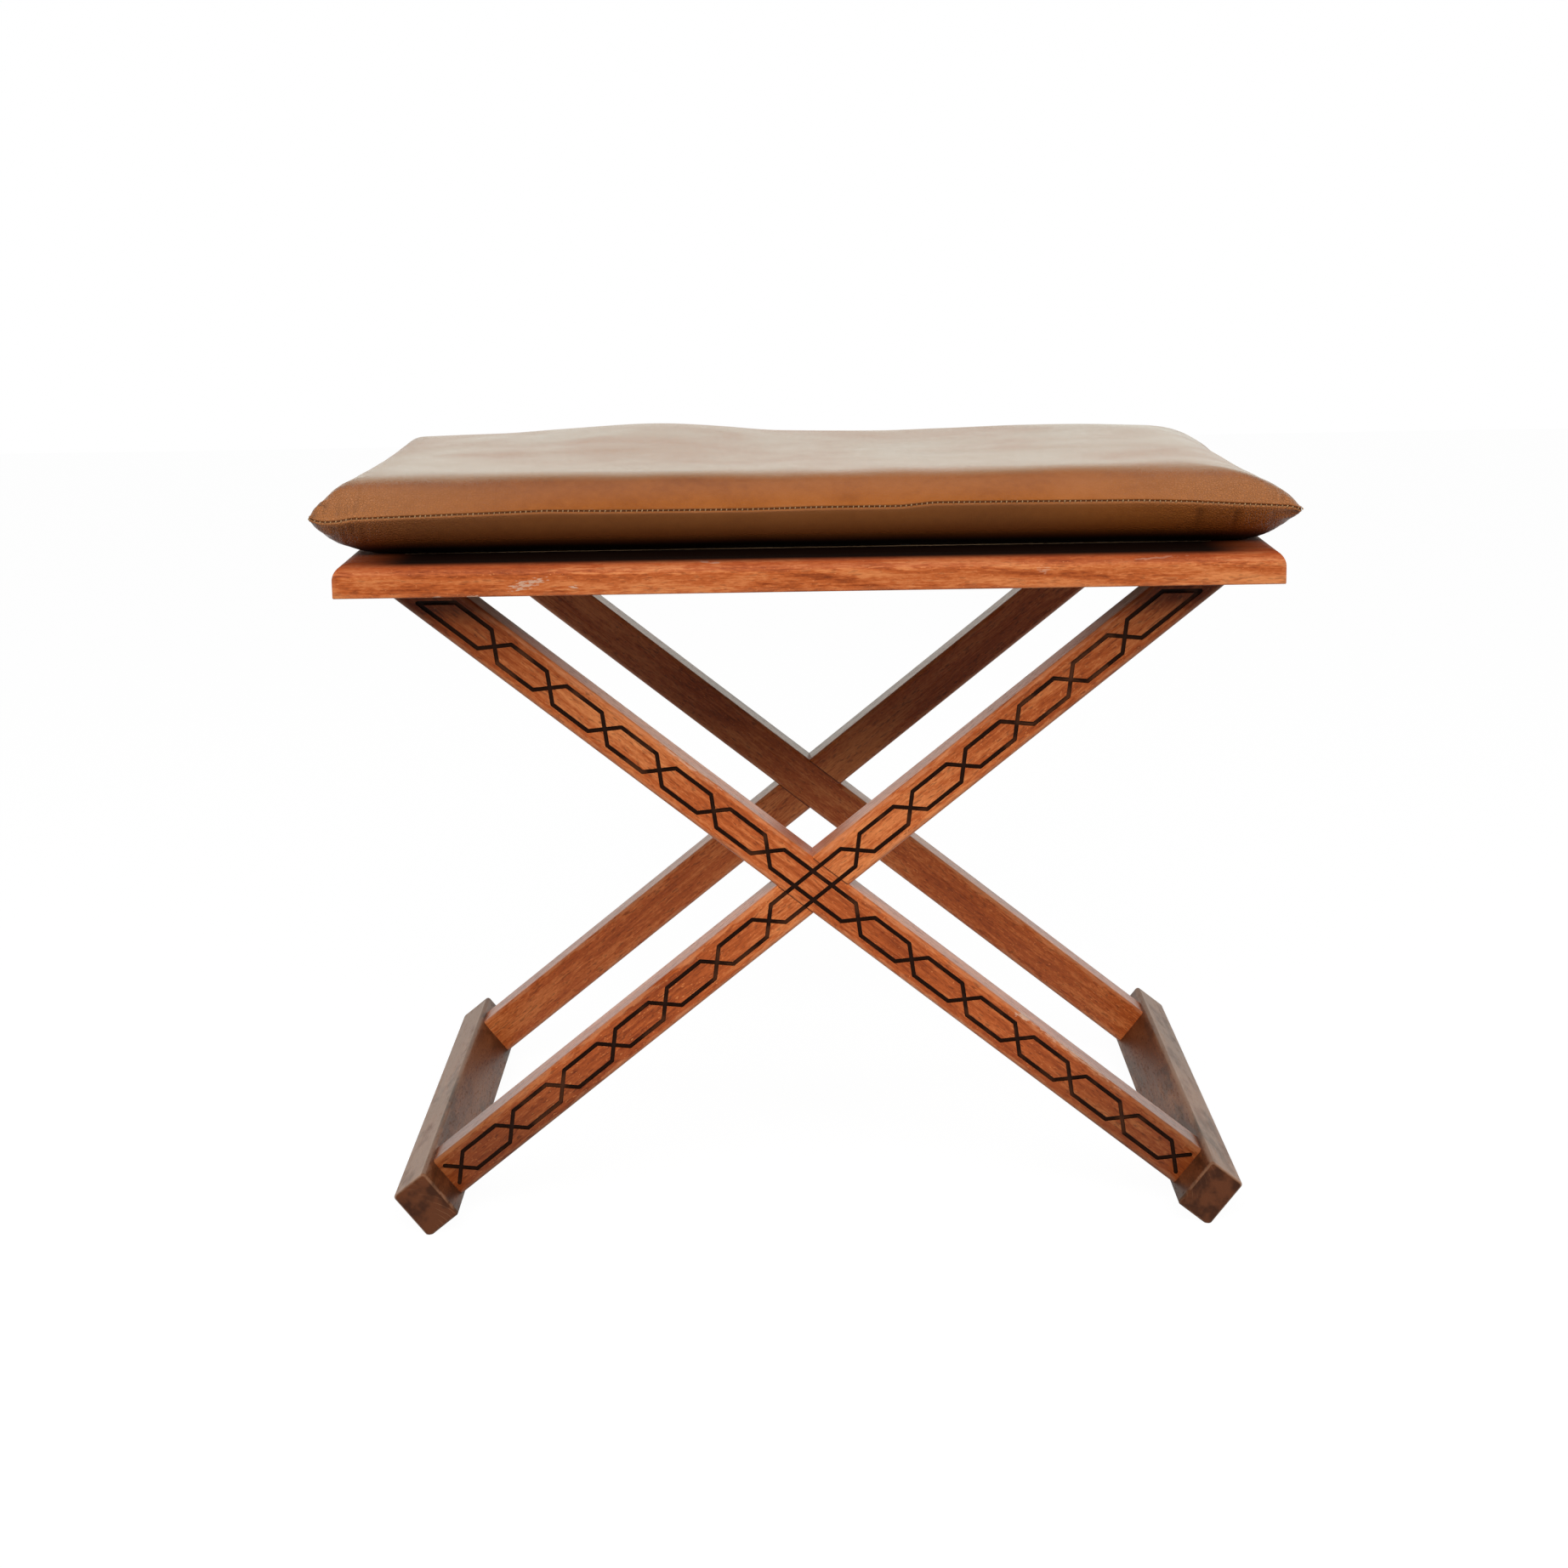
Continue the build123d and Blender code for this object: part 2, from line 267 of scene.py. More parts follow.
# Legs: tone brightens the whole leg as painted light, and heights paint the seat's shade on the upper part
frontLegStain = dict(stain, tone=1.25,
                     heights=((0.0, 0.50), (0.14, 0.52), (0.20, 0.72), (0.27, 1.0), (0.62, 1.0),
                              (0.78, 0.80), (0.89, 0.62), (0.95, 0.42), (1.0, 0.34)))
rearLegStain = dict(stain, tone=1.45,
                    heights=((0.0, 0.80), (0.25, 0.95), (0.40, 0.80), (0.50, 0.62), (0.60, 0.50),
                             (0.90, 0.58), (1.0, 0.54)))
railStain = dict(stain, dark=(0.230, 0.038, 0.007), mid=(0.520, 0.118, 0.027), light=(0.750, 0.265, 0.088),
                 flame=0.60, streaks=0.50, wear=0.15, flecks=0.26, fibre=0.70, grit=0.60,
                 roughness=0.36, lustre=1.36)
footStain = dict(stain, dark=(0.065, 0.018, 0.006), mid=(0.165, 0.050, 0.017), light=(0.300, 0.115, 0.046),
                 pore=(0.030, 0.011, 0.005), wearAndHighlight=(0.330, 0.170, 0.095), wear=0.55, wearWidth=0.0036,
                 roughness=0.44, flame=0.30, ringSpacing=0.0100, flecks=0.15, streaks=0.10, lustre=1.36)

# Noise in the wood: spots to the metre along the piece and across it, detail, roughness
grain = {
    "streak": ((75, 700, 700), 2.0, 0.55),
    "fibre": ((9, 420, 420), 5.0, 0.70),
    "grit": ((230, 900, 900), 2.0, 0.60),
    "cloud": ((6, 24, 24), 2.0, 0.50),
    "ringWander": ((5, 16, 16), 3.0, 0.55),
    "palePatch": ((12, 75, 75), 2.0, 0.50),
    "pore": ((170, 820, 820), 1.0, 0.50),
    "speck": ((500, 1100, 1100), 0.0, 0.50),
    "wear": ((60, 300, 300), 3.0, 0.60),
    "wave": ((14, 60, 60), 2.0, 0.50),
    "fading": ((40, 40, 40), 2.0, 0.50),
    "footBlotch": ((9, 40, 40), 4.0, 0.60),
    "footDust": ((20, 60, 60), 3.0, 0.60),
    "endRingBreaks": ((60, 60, 60), 2.0, 0.50),
    "endCloud": ((55, 55, 55), 3.0, 0.60),
}

scuffDepth = (0.010, 0.003)     # they fade between these depths behind the front face
# Scuffs: place along the piece, place across it, half length, half width, lean, strength
railScuffs = (
    (-0.180, -0.0030, 0.010, 0.0026, 0.25, 0.75), (-0.150, -0.0055, 0.003, 0.0010, 0.0, 0.8),
    (-0.0645, 0.0088, 0.006, 0.0005, -0.1, 0.8), (0.150, 0.0010, 0.003, 0.0020, 0.0, 0.35),
    (0.226, 0.0072, 0.014, 0.0005, 0.05, 0.4), (-0.3145, -0.0065, 0.0035, 0.0050, 0.0, 0.45),
    (0.3190, 0.0030, 0.0012, 0.0040, 0.0, 0.9), (0.3185, -0.0060, 0.0010, 0.0025, 0.0, 0.8),
    (-0.215, -0.0106, 0.004, 0.0008, 0.0, 0.7), (-0.238, -0.0107, 0.003, 0.0006, 0.0, 0.6),
)
legScuffs = (
    (0.166, 0.0138, 0.0045, 0.0016, 0.2, 0.8), (0.216, 0.0146, 0.030, 0.0010, 0.0, 0.5),
    (-0.115, 0.0146, 0.026, 0.0011, 0.0, 0.5), (0.105, -0.0146, 0.040, 0.0009, 0.0, 0.4),
)


# Object coordinates turned into the piece's own lay.
def pieceSpace(tree, lay):
    inputs = {"Vector": objectPlace(tree), "Location": lay["middle"], "Rotation": lay["turn"]}
    return addNode(tree, "Mapping", inputs, vector_type="TEXTURE").outputs["Vector"]


# One at the piece's long edges, nought inside: the two smallest distances to its faces added.
def edgeNearness(tree, place, half, width, jitter):
    gaps = axesOf(tree, doVector(tree, "SUBTRACT", tuple(half), doVector(tree, "ABSOLUTE", place)))
    total = plus(tree, plus(tree, gaps[0], gaps[1]), gaps[2])
    largest = doMath(tree, "MAXIMUM", doMath(tree, "MAXIMUM", gaps[0], gaps[1]), gaps[2])
    twoSmallest = plus(tree, minus(tree, total, largest), jitter)
    return spread(tree, twoSmallest, 0.45 * width, width, 1.0, 0.0)


# Distances from the middle lines of a leg and of the one that it crosses.
def crossingDistances(tree, place, lay):
    parts = axesOf(tree, place)
    turn = 2 * legs["slope"] * lay["side"]
    other = minus(tree, times(tree, parts[0], math.sin(turn)), times(tree, parts[2], math.cos(turn)))
    return doMath(tree, "ABSOLUTE", parts[2]), doMath(tree, "ABSOLUTE", other)


# One on the thin dark line beside the flush lap joint, and one away from the joint.
def lapMasks(tree, place, lay):
    across, other = crossingDistances(tree, place, lay)
    edge = legs["width"] / 2
    line = times(tree, doMath(tree, "LESS_THAN", other, edge - legs["jointInset"]),
                 spread(tree, across, *(edge - inset for inset in legs["jointLine"])))
    return line, spread(tree, other, *(edge + clear for clear in legs["jointClear"]))


# One inside the scuffs, broken up by streaks: each is an ellipse in the front face, leaning a little.
def scuffMask(tree, place, lay, scuffs, streak):
    parts = axesOf(tree, place)
    mask = 0.0
    for along, across, halfLength, halfWidth, lean, strength in scuffs:
        u = minus(tree, parts[0], along)
        v = minus(tree, minus(tree, parts[2], across), times(tree, u, lean))
        u, v = doMath(tree, "DIVIDE", u, halfLength), doMath(tree, "DIVIDE", v, halfWidth)
        ellipse = plus(tree, times(tree, u, u), times(tree, v, v))
        ragged = addShare(tree, ellipse, streak, -9.0)
        mask = doMath(tree, "MAXIMUM", times(tree, spread(tree, ragged, 1.2, 0.3), strength), mask)
    depth = plus(tree, parts[1], lay["half"].y)
    return times(tree, mask, spread(tree, depth, *scuffDepth))


footMarks = {
    "blotch": (0.038, 0.012, 0.005),
    "blotchShare": 0.75,
    "dustAndSheen": (0.620, 0.390, 0.275),     # the outer face: painted sheen, paler in patches
    "dustAndSheenShare": 0.58,
    "endWood": (0.150, 0.046, 0.017),
    "endRing": (0.330, 0.150, 0.075),
    "endRingSpacing": 0.0034,
    "endRingWander": 0.006,
    "endRingShare": 0.60,
    "endPith": (0, 0.026, -0.020),      # middle of the rings that the ends show
    "endCloudShare": 0.75,
}


# A foot rail is blotched, with painted sheen in patches on its outer face and arcs of end grain at both
# ends.
# side is one for the right rail and less one for the left.
def footColour(tree, colour, place, lane, side):
    marks = footMarks
    normal = facingOf(tree)
    blotch = spread(tree, waver(tree, lane, *grain["footBlotch"]), -0.01, 0.13)
    colour = blendColour(tree, times(tree, blotch, marks["blotchShare"]), colour, marks["blotch"])
    # painted sheen on the outer face, in patches
    outer = spread(tree, times(tree, normal[0], side), 0.35, 0.62, 0.0, marks["dustAndSheenShare"])
    dustAndSheen = spread(tree, waver(tree, lane, *grain["footDust"]), -0.16, 0.06, 0.4, 1.0)
    colour = blendColour(tree, times(tree, outer, dustAndSheen), colour, marks["dustAndSheen"])
    toPith = doVector(tree, "MULTIPLY", doVector(tree, "SUBTRACT", place, marks["endPith"]), (0, 1, 1))
    wander = waver(tree, lane, *grain["fading"])
    distance = addShare(tree, doVector(tree, "LENGTH", toPith), wander, marks["endRingWander"])
    arc = doMath(tree, "FRACT", doMath(tree, "DIVIDE", distance, marks["endRingSpacing"]))
    line = times(tree, spread(tree, arc, 0.16, 0.0),
                 spread(tree, waver(tree, lane, *grain["endRingBreaks"]), -0.06, 0.12))
    end = blendColour(tree, times(tree, line, marks["endRingShare"]), marks["endWood"], marks["endRing"])
    cloud = spread(tree, waver(tree, lane, *grain["endCloud"]), -0.08, 0.10)
    end = blendColour(tree, times(tree, cloud, marks["endCloudShare"]), end, marks["blotch"])
    atEnd = spread(tree, doMath(tree, "ABSOLUTE", normal[1]), 0.80, 0.95)
    return blendColour(tree, atEnd, colour, end)


seatTopShade = {
    "edge": (0.300, 0.042, 0.006),      # painted shade of the cushion on the rounded edge: darker and redder than the face
    "edgeBand": (0.0078, 0.0015),       # from and to, under the top
    "edgeShare": 0.62,
    "shade": (0.006, 0.002, 0.001),     # painted shade under the cushion, nearly black
    "shadeBand": (0.0034, 0.0003),
    "cornerBand": (0.004, 0.050),       # from and to, in from the ends: less painted shade at the corners
    "cornerShare": 0.35,
    "roughness": 0.70,                  # added in the shade
}


# Painted shade of the cushion on the frame's upper edge and top, as colour, with roughness.
def topShadePaint(tree, colour, rough):
    parts = axesOf(tree, objectPlace(tree))
    edge = spread(tree, parts[2], *(seatHigh.z - depth for depth in seatTopShade["edgeBand"]))
    top = spread(tree, parts[2], *(seatHigh.z - depth for depth in seatTopShade["shadeBand"]))
    ends = [seatHigh.x - depth for depth in seatTopShade["cornerBand"]]
    under = spread(tree, doMath(tree, "ABSOLUTE", parts[0]), *ends, seatTopShade["cornerShare"], 1.0)
    shade = times(tree, top, under)
    colour = blendColour(tree, times(tree, edge, seatTopShade["edgeShare"]), colour, seatTopShade["edge"])
    colour = blendColour(tree, shade, colour, seatTopShade["shade"])
    return colour, addShare(tree, rough, shade, seatTopShade["roughness"])


# Painted shade in the carved lines: near black on their walls, lighter and faded in patches on their floors
grooveShade = {
    "edge": (0.006, 0.002, 0.001),
    "floor": (0.022, 0.007, 0.003),
    "faded": (0.085, 0.027, 0.010),
    "roughness": 0.45,                  # added in the grooves
}


# Painted shade in the carved lines, as colour, with roughness: behind the carved face and inside a carved
# band.
def paintGrooveShade(tree, colour, rough, place, lane, lay):
    across, other = crossingDistances(tree, place, lay)
    depth = plus(tree, axesOf(tree, place)[1], legHalfDepth)
    inside = times(tree, doMath(tree, "GREATER_THAN", depth, 0.00012),
                   doMath(tree, "LESS_THAN", depth, legs["grooveDepth"] + 0.0004))
    nearest = doMath(tree, "MINIMUM", across, other)
    carved = times(tree, inside, doMath(tree, "LESS_THAN", nearest, legs["grooveHalfBand"]))
    floor = times(tree, carved, doMath(tree, "GREATER_THAN", depth, legs["grooveDepth"] - 0.0002))
    fading = spread(tree, waver(tree, lane, *grain["fading"]), 0.02, 0.16)
    faded = blendColour(tree, fading, grooveShade["floor"], grooveShade["faded"])
    paint = blendColour(tree, floor, grooveShade["edge"], faded)
    return blendColour(tree, carved, colour, paint), addShare(tree, rough, carved, grooveShade["roughness"])


# Stained wood. Tone is the fraction of the distance to the pith counted in rings, ragged by short
# streaks along the fibres, plus fibre noise and broad clouds. Pale streaks and dark pores lie over it.
def woodMaterial(name, lay, look, seed, carved=False, paintedTopShade=False, scuffs=(), foot=0):
    material, tree, shader = newMaterial(name)
    place = pieceSpace(tree, lay)
    lane = doVector(tree, "ADD", place, (0.71 * seed, 0.013 * seed % 0.05, 0.017 * seed % 0.04))
    streak = waver(tree, lane, *grain["streak"])
    fibre = waver(tree, lane, *grain["fibre"])
    grit = waver(tree, lane, *grain["grit"])
    drifting = doVector(tree, "MULTIPLY", lane, (look["ringDrift"], 1, 1))
    toPith = doVector(tree, "SUBTRACT", drifting, look["pith"])
    wander = waver(tree, lane, *grain["ringWander"])
    distance = addShare(tree, doVector(tree, "LENGTH", toPith), wander, look["ringWander"])
    rings = addShare(tree, doMath(tree, "DIVIDE", distance, look["ringSpacing"]), streak, look["ringRagged"])
    ring = doMath(tree, "FRACT", rings)
    flame = times(tree, spread(tree, ring, 0.0, 0.55), spread(tree, ring, 0.99, 0.72))
    tone = times(tree, minus(tree, flame, 0.45), 0.42 * look["flame"])
    cloud = waver(tree, lane, *grain["cloud"])
    for part, key in ((fibre, "fibre"), (cloud, "cloud"), (streak, "streak"), (grit, "grit")):
        tone = addShare(tree, tone, part, look[key])
    tone = plus(tree, tone, 0.5, clamp=True)
    colour = rampOf(tree, tone, ((0.14, look["dark"]), (0.5, look["mid"]), (0.86, look["light"])))

    patch = spread(tree, waver(tree, lane, *grain["palePatch"]), -0.02, 0.10)
    pale = times(tree, spread(tree, addShare(tree, streak, flame, 0.16), 0.10, 0.24), patch)
    colour = blendColour(tree, times(tree, pale, look["streaks"]), colour, look["light"])
    pore = spread(tree, addShare(tree, waver(tree, lane, *grain["pore"]), fibre, 0.4), 0.09, 0.20)
    colour = blendColour(tree, times(tree, pore, look["flecks"]), colour, look["pore"])
    speck = spread(tree, waver(tree, lane, *grain["speck"]), 0.25, 0.30)
    colour = blendColour(tree, times(tree, speck, look["specks"]), colour, look["light"])

    # Pale long edges: wear, and partly a painted highlight along the arrises
    jitter = times(tree, waver(tree, lane, *grain["wear"]), look["wearWander"])
    wearAndHighlight = times(tree, edgeNearness(tree, place, lay["half"], look["wearWidth"], jitter), look["wear"])
    if carved:
        joint, away = lapMasks(tree, place, lay)
        wearAndHighlight = times(tree, wearAndHighlight, away)
        colour = blendColour(tree, times(tree, joint, legs["jointShare"]), colour, look["pore"])
    colour = blendColour(tree, wearAndHighlight, colour, look["wearAndHighlight"])
    if scuffs:
        scuffed = scuffMask(tree, place, lay, scuffs, addShare(tree, grit, streak, 0.6))
        colour = blendColour(tree, scuffed, colour, look["scuffed"])
    if foot:
        colour = footColour(tree, colour, place, lane, foot)
    rough = addShare(tree, addShare(tree, look["roughness"], fibre, 0.20), pore, 0.12)
    # painted shade of the cushion on the seat frame's top and upper edge
    if paintedTopShade:
        colour, rough = topShadePaint(tree, colour, rough)
    # Painted shade: darker under the seat, by share of the seat's height, and brightened by tone
    if look["heights"]:
        level = doMath(tree, "DIVIDE", axesOf(tree, objectPlace(tree))[2], seatLow.z)
        paintedSeatShade = rampOf(tree, level, [(height, (share,) * 3) for height, share in look["heights"]])
        colour = doVector(tree, "MULTIPLY", doVector(tree, "MULTIPLY", colour, paintedSeatShade), (look["tone"],) * 3)
    # painted shade in the carved lines
    if carved:
        colour, rough = paintGrooveShade(tree, colour, rough, place, lane, lay)

    wave = bumpOf(tree, noiseAt(tree, lane, *grain["wave"]), look["wave"], look["bump"])
    height = minus(tree, times(tree, fibre, 0.6), pore)
    relief = bumpOf(tree, height, look["relief"], look["bump"], wave)
    setInputs(tree, shader, {"Base Color": colour, "Roughness": rough, "IOR": look["lustre"],
                             "Normal": relief})
    return material


panel = {
    "dark": (0.26, 0.15, 0.075),
    "mid": (0.42, 0.27, 0.15),
    "light": (0.55, 0.38, 0.23),
    "glue": (0.10, 0.05, 0.03),
    "ply": 0.0016,          # thickness of one ply
    "glueWidth": 0.0003,
    "roughness": 0.60,
}
dowels = {"dark": (0.40, 0.27, 0.14), "light": (0.62, 0.46, 0.28), "roughness": 0.62}
screws = {"dark": (0.42, 0.41, 0.38), "light": (0.66, 0.65, 0.62), "roughness": (0.28, 0.50)}


# Plain panel: pale straight grain along X, with glue lines on its edges.
def plywoodMaterial():
    material, tree, shader = newMaterial("panelPlywood")
    place = pieceSpace(tree, seatLay(True))
    fibre = noiseAt(tree, place, (6, 420, 420), 5.0, 0.6)
    cloud = noiseAt(tree, place, (3, 14, 14), 2.0)
    tone = addShare(tree, times(tree, fibre, 0.7), cloud, 0.3)
    colour = rampOf(tree, tone, ((0.25, panel["dark"]), (0.5, panel["mid"]), (0.75, panel["light"])))
    ply = doMath(tree, "PINGPONG", axesOf(tree, place)[2], panel["ply"])
    upright = spread(tree, doMath(tree, "ABSOLUTE", facingOf(tree)[2]), 0.5, 0.3)
    glue = times(tree, spread(tree, ply, panel["glueWidth"], 0.0), upright)
    colour = blendColour(tree, glue, colour, panel["glue"])
    relief = bumpOf(tree, fibre, 0.0002, 0.6)
    setInputs(tree, shader, {"Base Color": colour, "Roughness": panel["roughness"], "Normal": relief})
    return material


# Raw turned dowels: pale fibres along the dowel.
def dowelMaterial():
    material, tree, shader = newMaterial("rawDowel")
    fibre = noiseAt(tree, objectPlace(tree), (260, 260, 60), 4.0, 0.6)
    colour = rampOf(tree, fibre, ((0.3, dowels["dark"]), (0.7, dowels["light"])))
    relief = bumpOf(tree, fibre, 0.0002, 0.5)
    setInputs(tree, shader, {"Base Color": colour, "Roughness": dowels["roughness"], "Normal": relief})
    return material


# Zinc-plated screws, brushed and a little dull.
def screwMaterial():
    material, tree, shader = newMaterial("zincScrew")
    haze = noiseAt(tree, objectPlace(tree), (900, 900, 900), 3.0, 0.6)
    colour = rampOf(tree, haze, ((0.3, screws["dark"]), (0.7, screws["light"])))
    rough = spread(tree, haze, 0.3, 0.7, *screws["roughness"])
    setInputs(tree, shader, {"Base Color": colour, "Metallic": 1.0, "Roughness": rough})
    return material


# Gives every CAD node its own material.
def finishWood():
    finishes = {
        "front_leg_right": woodMaterial("legWoodFrontRight", legLay(1, False), frontLegStain, 1,
                                        carved=True, scuffs=legScuffs),
        "front_leg_left": woodMaterial("legWoodFrontLeft", legLay(-1, False), frontLegStain, 2, carved=True),
        "rear_leg_left": woodMaterial("legWoodRearLeft", legLay(1, True), rearLegStain, 3, carved=True),
        "rear_leg_right": woodMaterial("legWoodRearRight", legLay(-1, True), rearLegStain, 4, carved=True),
        "foot_rail_right": woodMaterial("footWoodRight", footLay(1), footStain, 5, foot=1),
        "foot_rail_left": woodMaterial("footWoodLeft", footLay(-1), footStain, 6, foot=-1),
        "seat_front_rail": woodMaterial("railWoodFront", seatLay(True), railStain, 7,
                                        paintedTopShade=True, scuffs=railScuffs),
        "seat_rear_rail": woodMaterial("railWoodRear", seatLay(True), railStain, 8, paintedTopShade=True),
        "seat_left_rail": woodMaterial("railWoodLeft", seatLay(False), railStain, 9, paintedTopShade=True),
        "seat_right_rail": woodMaterial("railWoodRight", seatLay(False), railStain, 10, paintedTopShade=True),
        "seat_panel": plywoodMaterial(),
        "panel_screws": screwMaterial(),
    }
    finishes["foot_dowels"] = finishes["seat_dowels"] = dowelMaterial()
    for node, material in finishes.items():
        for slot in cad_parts[node].material_slots:
            slot.material = material
    print("wood and screws finished:", len(finishes), "nodes")


# Cushion. Two leather covers meet in a lipped seam all round. Each cover is a grid over the plan,
# and the lines of the grid crowd together towards the seam.

coverLow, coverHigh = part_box("cushion_bottom_cover")
cushion = {
    "halfLength": coverHigh.x,
    "halfDepth": coverHigh.y,
    "rest": coverLow.z,                 # level of the flat underside
    "sidePull": 0.005,                  # how far the sides draw in between the corners
    "cornerRound": 0.005,
    "cornerDraw": 0.00145,              # how far that draws a corner's tip in, each way
    "lip": 0.0010,                      # radius of the leather's fold at the seam
    "topReach": (0.060, 0.083, 0.056, 0.033),    # slope of the top cover: front, right, rear, left
    "topPower": 2.96,
    "topCorner": 5.0,
    "underReach": (0.044, 0.042, 0.044, 0.047),
    "underPower": 2.4,
    "underCorner": 6.0,
    "crown": 0.0498,
    "dome": -0.0045,                    # hollow before it swells
    # swellings of the top: place along the front, half width, height
    "lobes": ((-0.110, 0.080, 0.0090), (-0.215, 0.060, 0.0012), (0.175, 0.080, 0.0024)),
    "lobeRear": (0.10, 0.16),           # their place towards the rear, and half depth
    "ripple": (0.110, 0.0003),          # width, height
    # seam height over the underside along the front and rear: share of the half length, height
    "frontSeam": ((-1.0, 0.0272), (-0.972, 0.0246), (-0.94, 0.0250), (-0.92, 0.0264), (-0.66, 0.0284),
                  (-0.53, 0.0295), (-0.40, 0.0287), (-0.12, 0.0282), (0.02, 0.0289), (0.19, 0.0288),
                  (0.255, 0.0308), (0.43, 0.0306), (0.67, 0.0302), (0.77, 0.0291), (0.86, 0.0273),
                  (0.975, 0.0253), (1.0, 0.0228)),
    "rearSeam": ((-1.0, 0.0209), (-0.6, 0.0280), (0.0, 0.0290), (0.6, 0.0290), (1.0, 0.0172)),
    "seamEasing": (0.006, 0.020),       # front and rear, share of the half length
    "rearLeftDraw": 0.0038,             # the rear left corner stands this much further in
    "rightDraw": 0.0012,
    "frontLeftReach": 0.0026,           # and the front left one further out
    "ear": (0.0050, 0.0030, 0.0034),    # in from the corner's two sides, height, half width
    "earFoot": 0.15,                    # it is at its full height from this share of the slope
    "seed": 11,
}
# Lines of the grid: first step from the seam, growth from step to step, widest step
fineGrid = (0.0005, 1.25, 0.0027)
clothGrid = (0.005, 1.25, 0.0055)


# Nought at the seam and one past the reach, steep first and level at the end.
def riseOf(distance, reach, power):
    return 1 - (1 - np.clip(distance / reach, 0, 1)) ** power


# Two slopes that meet at a corner: one less the rounded larger of what each still lacks.
def joined(endWay, longWay, corner):
    return 1 - np.minimum(((1 - endWay) ** corner + (1 - longWay) ** corner) ** (1 / corner), 1)


# Heights at places, through the given pairs, each eased over its neighbourhood.
def smoothAlong(places, pairs, width):
    known = np.array(pairs)
    shifts = np.linspace(-2, 2, 9)
    weights = np.exp(-shifts ** 2)
    heights = sum(weight * np.interp(places + shift * width, known[:, 0], known[:, 1])
                  for shift, weight in zip(shifts, weights))
    return heights / weights.sum()


# Seeded random heights, -1 to 1, on a square lattice, eased between its points.
def latticeNoise(x, y, cell, seed):
    size = 64
    table = np.random.default_rng(seed).uniform(-1, 1, (size, size))
    u, v = x / cell + size / 2, y / cell + size / 2
    i, j = np.floor(u).astype(int), np.floor(v).astype(int)
    fu, fv = u - i, v - j
    fu, fv = fu * fu * (3 - 2 * fu), fv * fv * (3 - 2 * fv)
    near = [table[(i + a) % size, (j + b) % size] for a in (0, 1) for b in (0, 1)]
    return (near[0] * (1 - fu) + near[2] * fu) * (1 - fv) + (near[1] * (1 - fu) + near[3] * fu) * fv


# Lines across the cushion from seam to seam: place, rise up the lip, and run into the slope.
def gridLines(half, grid, lipped):
    step, growth, widest = grid
    inward, rise, run = [0.0], [0.0], [0.0]
    if lipped:
        angles = np.radians([-90, -50, -10, 20, 40])
        inward = list(cushion["lip"] * (1 - np.cos(angles)))
        rise = list(cushion["lip"] * (1 + np.sin(angles)))
        run = [0.0, 0.0, 0.0, 0.0, inward[-1]]
    while inward[-1] + 1.5 * step < half:
        inward.append(inward[-1] + step)
        step = min(step * growth, widest)
    inward = inward + [half]
    rise = rise + [rise[-1]] * (len(inward) - len(rise))
    run = run + inward[len(run):]
    inward, rise, run = np.array(inward), np.array(rise), np.array(run)
    place = np.concatenate([inward - half, (half - inward)[-2::-1]])
    return {"place": place, "rise": np.concatenate([rise, rise[-2::-1]]),
            "run": np.concatenate([run, run[-2::-1]])}


